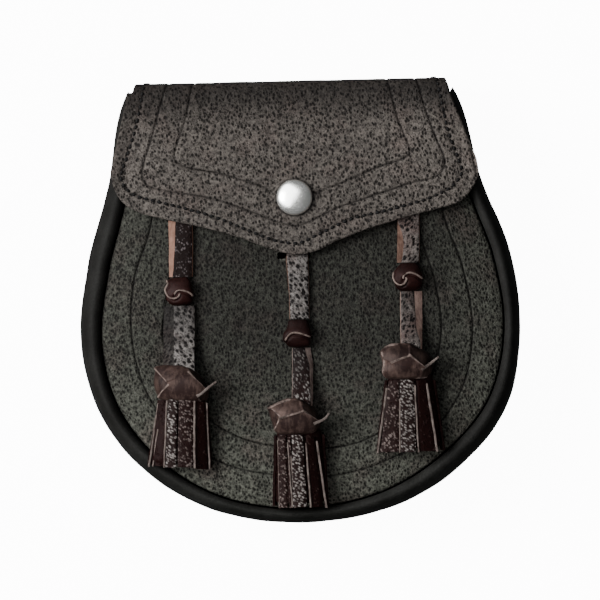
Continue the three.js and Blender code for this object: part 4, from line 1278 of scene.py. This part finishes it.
def make_upper_thong(row):
    """From the knot up the panel under the flap, round a small bend and down through the slit."""
    name = row["name"]
    left, right, slit_low, slit_high = slit_of(row)
    bend = thong_wall * 0.4
    bend_start = slit_low + gap - bend
    first = row["knot"][1] * half_height + knot_length / 2 + gap
    levels = np.linspace(first, bend_start, 90)
    table = upper_edges[name]
    section, marks = strap_section(*table_columns(table, levels), thong_wall)
    x, h = section[..., 0], section[..., 1]
    y = np.broadcast_to(levels[:, None], x.shape)
    loose = np.clip((levels - first) / 6, 0, 1)[:, None] * (h > 0.25)
    x = x + 0.12 * waves(y, 0 * y, 9, 41) * loose
    z = lay_height(x, y) + h + 0.14 * (1 + waves(x, y, 8, 42)) * loose
    rubbed_and_shaded = {"left": 0.1, "middle": 0.45, "right": 0.15}[name]
    rings = [np.stack([x, y, z], -1)]
    section, _ = strap_section(*table_columns(table, np.array([bend_start])), thong_wall)
    x, h = section[0, :, 0], section[0, :, 1]
    hub = lay_height(x, bend_start + 0 * x) - bend
    for turn in np.radians([15, 30, 45, 60, 75, 90]):
        y = bend_start + (bend + h) * math.sin(turn)
        rings.append(np.stack([x, y, hub + (bend + h) * math.cos(turn)], -1)[None])
    end = hub[len(hub) // 2] - panel_wall - thong_wall
    for share in (0.25, 0.5, 0.75, 1):
        z = hub + (end - hub) * share
        rings.append(np.stack([x, bend_start + bend + h, z], -1)[None])
    part = sweep_part(np.concatenate(rings), marks)
    finishes = {
        "left": [thong_dark, cut_edge],
        "middle": [thong_bright, brown_edge],
        "right": [thong_dim, brown_edge],
    }
    add_piece(
        f"{name}_thong_above", [part], finishes[name], f"{name}_upper_thong", 40,
        {"burnish_and_shade": np.full(len(part[0]), rubbed_and_shaded)},
    )


tucked_in = 3.5
darker_near_knot = {"left": 0.8, "middle": 0.75, "right": 0.6}


def make_lower_thong(row):
    """From the knot down into the tassel's head, rising to its middle and darker beside the knot."""
    name = row["name"]
    first = row["knot"][1] * half_height - knot_length / 2 - gap
    last = row["head"][1] * half_height + head_length / 2 - tucked_in
    levels = np.linspace(first, last, 90)
    share = np.linspace(0, 1, 90)[:, None]
    section, marks = strap_section(*table_columns(lower_edges[name], levels), thong_wall)
    x, h = section[..., 0], section[..., 1]
    y = np.broadcast_to(levels[:, None], x.shape)
    rise = (head_height - thong_wall) / 2 * share**2
    burnish_and_shade = np.broadcast_to(darker_near_knot[name] * (1 - share) ** 0.55, x.shape)
    lively = h > 0.25
    x = x + 0.12 * waves(y, 0 * y, 9, 51) * lively
    z = lay_height(x, y) + rise + h + 0.16 * (1 + waves(x, y, 7, 52)) * lively
    part = sweep_part(np.stack([x, y, z], -1), marks)
    finishes = {
        "left": [thong_bright, thong_side_shaded],
        "middle": [thong_glinting, painted_lit_edge],
        "right": [thong_dim, painted_lit_tan_edge],
    }
    add_piece(
        f"{name}_thong_below", [part], finishes[name], f"{name}_lower_thong", 40,
        {"burnish_and_shade": burnish_and_shade.reshape(-1)},
    )


def lump_rings(line, along, left, right, height, base, sides):
    """Rings of a rounded body on the lay: flattened rounds, squared a little by a power of 0.8.

    Returns places along, across and up from each ring's middle, and the middles.
    """
    angle = np.linspace(0, 2 * math.pi, sides, endpoint=False)
    c, s = np.cos(angle), np.sin(angle)
    across = np.sign(c) * np.abs(c) ** 0.8 * ((right - left) / 2)[:, None]
    up = np.sign(s) * np.abs(s) ** 0.8 * (height / 2)[:, None]
    middle = ((left + right) / 2)[:, None]
    return np.broadcast_to(along[:, None], across.shape), across, up, middle


def lump_part(line, along, left, right, height, relief, sides):
    """A closed lump with relief on its outside, drawn in to a pole at each end. Relief is in millimetres."""
    first, last = along[0], along[-1]
    depth = np.minimum(along - first, last - along)
    scale = 0.86 + 0.14 * np.sqrt(1 - (1 - np.clip(depth / 1.4, 0, 1)) ** 2)
    tips = np.array([1.6, 1.5, 1.0, 0.4])
    sizes = np.array([0.0, 0.3, 0.62, 0.8]) * scale[0]
    whole = np.concatenate([first + tips, along, (last - tips)[::-1]])
    scale = np.concatenate([sizes, scale, sizes[::-1]])

    def stretch(values):
        return np.concatenate([np.full(4, values[0]), values, np.full(4, values[-1])])

    left, right, height = stretch(left), stretch(right), stretch(height)
    place, across, up, middle = lump_rings(line, whole, left, right, height, 0, sides)
    grow = relief(place, across + middle, up / (height[:, None] / 2))
    grow[:4], grow[-4:] = 0, 0
    radius = np.hypot(across, up) + 1e-6
    factor = scale[:, None] * (1 + grow / radius)
    x, y = line.plan(place, middle + across * factor)
    z = lay_height(x, y) + (height / 2)[:, None] + up * factor
    points = np.stack([x, y, np.maximum(z, lay_height(x, y))], -1)
    faces = grid_faces(len(whole), sides)
    last_column = np.arange(len(whole) - 1)[:, None] * sides + np.array([sides - 1, 0, sides, 2 * sides - 1])
    return points, [faces, last_column], (place, middle + across, up / (height[:, None] / 2))


def lump_top(line, along, across, left, right, height):
    """How high a lump's top lies over the lay at a place: the section's formula solved for its rise."""
    share = np.clip(np.abs(across - (left + right) / 2) / ((right - left) / 2), 0, 1)
    c = share ** (1 / 0.8)
    return height / 2 + np.sqrt(np.clip(1 - c * c, 0, 1)) ** 0.8 * height / 2


def inside(outline, along, across, soft=0.5):
    """How far inside a convex outline places lie, from 0 to 1 over a soft border."""
    outline = np.array(outline, float)
    ahead = np.roll(outline, -1, 0)
    turn = np.sign(np.sum(outline[:, 0] * ahead[:, 1] - ahead[:, 0] * outline[:, 1]))
    least = np.full(along.shape, np.inf)
    for (a, b), (c, d) in zip(outline, ahead):
        side = ((c - a) * (across - b) - (d - b) * (along - a)) / math.hypot(c - a, d - b)
        least = np.minimum(least, turn * side)
    share = np.clip(least / soft + 0.5, 0, 1)
    return share * share * (3 - 2 * share)


def tube_part(points, radius, flat=1.0, sides=8):
    """A round bead along a path, drawn in at its ends: circles square to the path, flattened by a share."""
    steps = len(points)
    ahead = np.gradient(points, axis=0)
    ahead /= np.linalg.norm(ahead, axis=1)[:, None]
    side = np.cross(ahead, [0.0, 0.0, 1.0])
    side /= np.linalg.norm(side, axis=1)[:, None]
    up = np.cross(side, ahead)
    t = np.linspace(0, 1, steps)
    girth = radius * np.minimum(1, np.sqrt(np.clip(np.minimum(t, 1 - t) * steps / 3 + 0.15, 0, 1)))
    angle = np.linspace(0, 2 * math.pi, sides, endpoint=False)
    rings = points[:, None] + side[:, None] * (girth[:, None] * np.cos(angle))[..., None]
    rings = rings + up[:, None] * (flat * girth[:, None] * np.sin(angle))[..., None]
    return sweep_part(rings)


# A knot's silhouette and rise: share of its length, left, right, and share of its height
knot_sides = {
    "left": np.array([(0, -3.6, 4.4, 0.55), (0.2, -4.9, 5.5, 0.86), (0.45, -6.0, 6.0, 1),
                      (0.72, -5.6, 6.2, 0.94),
                      (0.9, -4.5, 5.6, 0.78), (1, -3.3, 4.3, 0.55)]),
    "middle": np.array([(0, -3.4, 4.9, 0.55), (0.25, -3.9, 5.8, 0.84), (0.5, -5.6, 6.3, 1),
                        (0.7, -6.0, 6.2, 0.96),
                        (0.9, -4.4, 5.8, 0.8), (1, -3.2, 5.0, 0.55)]),
    "right": np.array([(0, -3.0, 4.3, 0.55), (0.25, -5.4, 5.8, 0.88), (0.5, -6.6, 6.3, 1),
                       (0.77, -5.8, 6.0, 0.92),
                       (1, -4.0, 4.3, 0.55)]),
}


def make_knot(row):
    """The overhand knot: a rounded lump folded along its lines, with pale cut edges on the folds."""
    name = row["name"]
    line = LaidLine(row["knot"], row["head"])
    share = np.linspace(0, 1, 70)
    left, right, rise = (smooth_column(knot_sides[name], share, k) for k in (1, 2, 3))
    along = (share - 0.5) * knot_length
    height = knot_height * rise
    lines = [smooth_line(points, 60) for points in knot_lines[name]]

    def relief(place, across, up):
        total = 0.12 * waves(place, across, 5, 61)
        for path in lines:
            total = total - 0.75 * groove(distance_to(path + (0.95, 0), place, across), 0.6)
            total = total + 0.35 * groove(distance_to(path - (0.9, 0), place, across), 1.1)
        return total * np.clip(up + 0.4, 0, 1)

    points, faces, _ = lump_part(line, along, left, right, height, relief, 150)
    parts = [(points.reshape(-1, 3), faces, [np.zeros(len(block), int) for block in faces])]
    for path in lines:
        low, high, tall = (np.interp(path[:, 0], along, values) for values in (left, right, height))
        x, y = line.plan(path[:, 0], path[:, 1])
        top = lump_top(line, path[:, 0], path[:, 1], low, high, tall)
        bead = tube_part(np.stack([x, y, lay_height(x, y) + top + 0.02], -1), 0.42, 0.8)
        parts.append((bead[0], bead[1], [np.ones(len(block), int) for block in bead[1]]))
    add_piece(f"{name}_thong_knot", parts, [knot_leather, knot_edge], f"{name}_knot", 70)


def smooth_column(table, place, column):
    """A table's column at places along its first, on a curve that is smooth at each row."""
    path = smooth_line(table[:, [0, column]], 200)
    return np.interp(place, path[:, 0], path[:, 1])


head_rise = np.array([(0, 0.66), (0.1, 0.82), (0.38, 1), (0.66, 0.98), (0.9, 0.86), (1, 0.76)])


def make_head(row):
    """The woven head: a lump with facets of flat strap, and pale cut edges where straps cross."""
    name = row["name"]
    line = LaidLine(row["head"], row["hem"])
    along = np.linspace(-head_length / 2, head_length / 2, 112)
    left, right = (smooth_column(head_sides[name], along, k) for k in (1, 2))
    height = head_height * smooth_column(head_rise, along / head_length + 0.5, 1)
    edges = [smooth_line(points, 30) for points in head_edges[name]]

    def relief(place, across, up):
        total = 0.1 * waves(place, across, 6, 71)
        for outline, lift, lean, _ in head_facets[name]:
            middle = np.mean(outline, 0)
            rise = lift + lean[0] * (place - middle[0]) + lean[1] * (across - middle[1])
            total = total + inside(outline, place, across) * rise
        for path in edges:
            total = total + 0.35 * groove(distance_to(path, place, across), 0.6)
        return total * np.clip(up * 1.6 + 0.5, 0, 1)

    points, faces, (place, across, up) = lump_part(line, along, left, right, height, relief, 280)
    pale = np.zeros(place.shape)
    for path in edges:
        pale = np.maximum(pale, 1 - np.clip((distance_to(path, place, across) - 0.3) / 0.2, 0, 1))
    pale *= np.clip(up * 3 + 0.6, 0, 1)
    # Painted shade: towards the head's lower end, on its facets turned from the light and over its underside.
    burnish_and_shade = 0.5 * np.clip((place - 4.5) / 3, 0, 1)
    for outline, _, _, shade in head_facets[name]:
        burnish_and_shade = np.maximum(burnish_and_shade, inside(outline, place, across) * shade * 0.85)
    burnish_and_shade = np.maximum(burnish_and_shade, 0.7 * np.clip(0.9 - 2 * up, 0, 1))
    add_piece(
        f"{name}_woven_head", [(points.reshape(-1, 3), faces, None)], [head_leather],
        f"{name}_tassel_head", 180, {"cut": pale.reshape(-1), "burnish_and_shade": burnish_and_shade.reshape(-1)},
    )


def make_tab(row):
    """The end of the head's strap, which stands on edge and sticks out to the right."""
    name = row["name"]
    line = LaidLine(row["head"], row["hem"])
    path = smooth_line(head_tabs[name], 24)
    x, y = line.plan(path[:, 0], path[:, 1])
    ahead = np.gradient(np.stack([x, y], 1), axis=0)
    ahead /= np.linalg.norm(ahead, axis=1)[:, None]
    side = np.stack([-ahead[:, 1], ahead[:, 0]], 1)
    t = np.linspace(0, 1, 24)
    top = lay_height(x, y) + head_height * (0.93 - 0.2 * t)
    rings = []
    girth = 1 - 0.45 * t
    for a, h in ((-0.7, -5.0), (0.7, -5.0), (0.75, -0.35), (0.45, 0), (-0.45, 0), (-0.75, -0.35)):
        low = np.where(h < -1, h * (1 - 0.35 * t), h)
        rings.append(np.column_stack([x + side[:, 0] * a * girth, y + side[:, 1] * a * girth, top + low]))
    marks = np.array([0, 0, 1, 1, 1, 0])
    part = sweep_part(np.stack(rings, 1), marks)
    add_piece(f"{name}_head_tab", [part], [knot_leather, fringe_edge], crease=40)


def skirt_top(across, fan, share):
    """How high a skirt's strips stand over the lay: half an ellipse that widens and settles to the hem."""
    half = skirt_width / 2 * (1 + (fan - 1) * share) + 1.5
    base = (head_height - skirt_height) / 2 * (1 - share)
    return base + skirt_height * (0.5 + 0.5 * np.sqrt(np.clip(1 - (across / half) ** 2, 0, 1)))


skirt_fan = {"left": 1.3, "middle": 1.12, "right": 1.38}


def strip_on_edge(line, name, start, at_start, at_hem, thick, depth, hem, mark=3):
    """A strip that stands on edge: its cut side on top, rounded, its faces straight down."""
    steps = 26
    t = np.linspace(0, 1, steps)
    along = start + (hem - start) * t
    full = (along - head_length / 2) / (line.length - head_length / 2)
    across = at_start + (at_hem - at_start) * t
    top = skirt_top(across, skirt_fan[name], full) - depth * (0.6 + 0.4 * full)
    swell = 0.2 * waves(along, 0 * along, 11, int(abs(at_hem) * 10))
    rings = []
    half = thick / 2
    drop = np.minimum(top - 0.2, 4.4)
    for a, h in ((-half, -1), (half, -1), (half, -0.25), (half * 0.6, 0), (-half * 0.6, 0), (-half, -0.25)):
        x, y = line.plan(along, across + a + swell)
        low = drop * h if h == -1 else h
        rings.append(np.column_stack([x, y, lay_height(x, y) + top + low]))
    # The strip's faces down its sides take the fringe leather painted in shade.
    return sweep_part(np.stack(rings, 1), np.array([2, 2, mark, mark, mark, 2]))


def strip_on_face(line, name, start, first, last, depth, lean, finish, hem):
    """A strip that shows its face: slightly crowned, leaning, thin, its border eased."""
    steps = 40
    t = np.linspace(0, 1, steps)
    along = start + (hem - start) * t
    full = (along - head_length / 2) / (line.length - head_length / 2)
    left = first[0] + (last[0] - first[0]) * t
    right = first[1] + (last[1] - first[1]) * t
    middle = (left + right) / 2
    top = skirt_top(middle, skirt_fan[name], full) - depth * (0.6 + 0.4 * full)
    mark = {"bright": 0, "dim": 1, "dark": 2}[finish]
    wall = 1.6
    rings = []
    corners = [(-0.98, -wall), (0.98, -wall), (1, -wall / 2)]
    corners += [(s, 0.18 * (1 - s * s) - 0.3 * abs(s) ** 8) for s in np.linspace(1, -1, 9)]
    corners += [(-1, -wall / 2)]
    for s, h in corners:
        a = middle + s * (right - left) / 2
        x, y = line.plan(along, a)
        lift = 0.12 * waves(along, a, 6, 81) if h > -wall / 2 else 0
        rings.append(
            np.column_stack([x, y, lay_height(x, y) + top + h + lean * s * (right - left) / 2 + lift])
        )
    marks = np.full(len(corners), mark)
    return sweep_part(np.stack(rings, 1), marks)


def make_skirt(row):
    """The fringe: a bundle inside painted in shade, and cut strips round its front and sides."""
    name = row["name"]
    line = LaidLine(row["head"], row["hem"])
    rng = np.random.default_rng(len(name))
    top, hem = head_length / 2, line.length
    fan = skirt_fan[name]
    along = np.linspace(top - 2.5, top + (hem - top) * 0.93, 30)
    share = np.clip((along - top) / (hem - top), 0, 1)
    half = skirt_width / 2 * (1 + (fan - 1) * share) * 0.9
    core_height = skirt_height * 0.74 + (head_height - skirt_height) / 2 * (1 - share)

    def bare(place, across, up):
        return 0.25 * waves(across * 3, place * 0.3, 6, 91)

    points, faces, _ = lump_part(line, along, -half, half, core_height, bare, 60)
    parts = [(points.reshape(-1, 3), faces, [np.full(len(block), 2) for block in faces])]
    for start, at_start, at_hem, thick, depth in skirt_edges[name]:
        reach = hem * rng.uniform(0.982, 0.998)
        parts.append(strip_on_edge(line, name, start, at_start, at_hem, thick, depth, reach))
    for start, a, b, c, d, depth, lean, finish in skirt_faces[name]:
        reach = hem * rng.uniform(0.975, 0.995)
        parts.append(strip_on_face(line, name, start, (a, b), (c, d), depth, lean, finish, reach))
    # Strips down each side, painted in shade all over.
    for side in (-1, 1):
        for depth, inset in ((4.6, 0.3), (6.6, 1.2)):
            at_start = side * (skirt_width / 2 - inset)
            at_hem = side * (skirt_width / 2 * fan - inset)
            parts.append(strip_on_edge(line, name, top + 0.5, at_start, at_hem, 1.3, depth, hem * 0.97, 2))
    finishes = [fringe_lit, fringe_half_lit, fringe_shaded, fringe_edge]
    add_piece(f"{name}_fringe", parts, finishes, f"{name}_tassel_skirt", 40)


def make_belt_loop(name, x):
    """A belt loop: a strap bent out and back between two sewn feet, with eased borders."""
    inner = loop_opening / 2
    outer = inner + loop_wall
    foot = outer + loop_foot
    top = back_recess - gap
    middle = loop_wall / 2
    bend = 1.6
    path = [(-foot, top - middle), (-outer + middle - bend, top - middle)]
    turns = np.radians(np.linspace(0, 90, 7))
    low_y, low_z = -outer + middle - bend, top - middle - bend
    path += [(low_y + bend * math.sin(a), low_z + bend * math.cos(a)) for a in turns[1:]]
    far_y, far_z = -outer + middle + bend, middle + bend
    path += [(far_y - bend * math.cos(a), far_z - bend * math.sin(a)) for a in turns]
    path += [(y, middle) for y in np.linspace(far_y, 0, 8)[1:]]
    path = np.array(path)
    path = np.vstack([path, (path * (-1, 1))[-2::-1]])
    ahead = np.gradient(path, axis=0)
    ahead /= np.linalg.norm(ahead, axis=1)[:, None]
    out = np.stack([ahead[:, 1], -ahead[:, 0]], 1)
    half = loop_width / 2
    ease = 0.45
    corners = [
        (-half, -middle + ease), (-half + ease, -middle), (half - ease, -middle), (half, -middle + ease)
    ]
    corners += [(half, middle - ease), (half - ease, middle)]
    corners += [(s * half, middle - 0.12 * groove(abs(s) - 0.82, 0.05)) for s in np.linspace(0.92, -0.92, 33)]
    corners += [(-half + ease, middle), (-half, middle - ease)]
    across, rise = np.array(corners).T
    y = path[:, :1] + out[:, :1] * rise
    z = np.maximum(path[:, 1:] + out[:, 1:] * rise, 0)
    rings = np.stack([np.broadcast_to(x + across, y.shape), loop_level + y, z], -1)
    add_piece(f"{name}_strap", [sweep_part(rings)], [back_leather], name, 45)


def make_post_finish():
    """The snap's post keeps its own shape and takes the nickel."""
    post = bpy.data.objects["snap_post"]
    post.data.materials.clear()
    post.data.materials.append(nickel)


def make_stage():
    """A white floor that glows, a dim sky and four lamps.

    Key, low and fill light the faces, and key and sheen show in the gloss.
    """
    mesh = bpy.data.meshes.new("floor")
    far = 3.0
    mesh.from_pydata(
        [(-far, -far, -0.0004), (far, -far, -0.0004), (far, far, -0.0004), (-far, far, -0.0004)],
        [],
        [(0, 1, 2, 3)],
    )
    floor = bpy.data.objects.new("floor", mesh)
    bpy.context.scene.collection.objects.link(floor)
    white = bpy.data.materials.new("white floor")
    white.use_nodes = True
    shader = white.node_tree.nodes["Principled BSDF"]
    shader.inputs["Base Color"].default_value = (0.9, 0.9, 0.9, 1)
    shader.inputs["Roughness"].default_value = 0.9
    shader.inputs["Emission Color"].default_value = (1, 1, 1, 1)
    shader.inputs["Emission Strength"].default_value = 12
    mesh.materials.append(white)
    floor.visible_diffuse = False
    floor.visible_glossy = False
    world = bpy.data.worlds.new("soft light")
    bpy.context.scene.world = world
    world.use_nodes = True
    sky = world.node_tree.nodes["Background"]
    sky.inputs["Color"].default_value = (0.96, 0.98, 1, 1)
    sky.inputs["Strength"].default_value = 0.13
    lamps = (
        ("key light", (-1.9, 0.5, 1.65), 1.3, 125, True, True),
        ("low light", (-0.5, -1.2, 1.2), 0.8, 5, True, False),
        ("fill light", (1.7, -0.7, 0.9), 1.0, 6, True, False),
        ("sheen light", (-0.72, 0.45, 1.0), 1.9, 80, False, True),
    )
    for name, place, size, power, on_faces, in_gloss in lamps:
        light = bpy.data.lights.new(name, "AREA")
        light.size = size
        light.energy = power
        lamp = bpy.data.objects.new(name, light)
        lamp.location = place
        lamp.rotation_euler = (-Vector(place)).to_track_quat("-Z", "Y").to_euler()
        lamp.visible_camera = False
        lamp.visible_diffuse = on_faces
        lamp.visible_glossy = in_gloss
        bpy.context.scene.collection.objects.link(lamp)


def make_camera():
    """Straight above, turned as the photograph is, its frame 259.1 mm wide at the height of the bag's rim."""
    height, rim_height, frame_width = 2.4, 0.019, 0.2591
    camera = bpy.data.cameras.new("camera")
    camera.sensor_width = 36
    camera.lens = camera.sensor_width * (height - rim_height) / frame_width
    camera.clip_end = 20
    eye = bpy.data.objects.new("camera", camera)
    eye.location = (0.00013, 0.00089, height)
    eye.rotation_euler = (0, 0, math.radians(-1.3))
    bpy.context.scene.collection.objects.link(eye)
    bpy.context.scene.camera = eye


make_gusset()
make_front_panel()
make_back_panel()
make_flap()
make_sewing()
make_stud()
make_post_finish()
for row in tassels:
    make_upper_thong(row)
    make_knot(row)
    make_lower_thong(row)
    make_head(row)
    make_tab(row)
    make_skirt(row)
make_belt_loop("left_belt_loop", -loop_spacing / 2)
make_belt_loop("right_belt_loop", loop_spacing / 2)
make_stage()
make_camera()
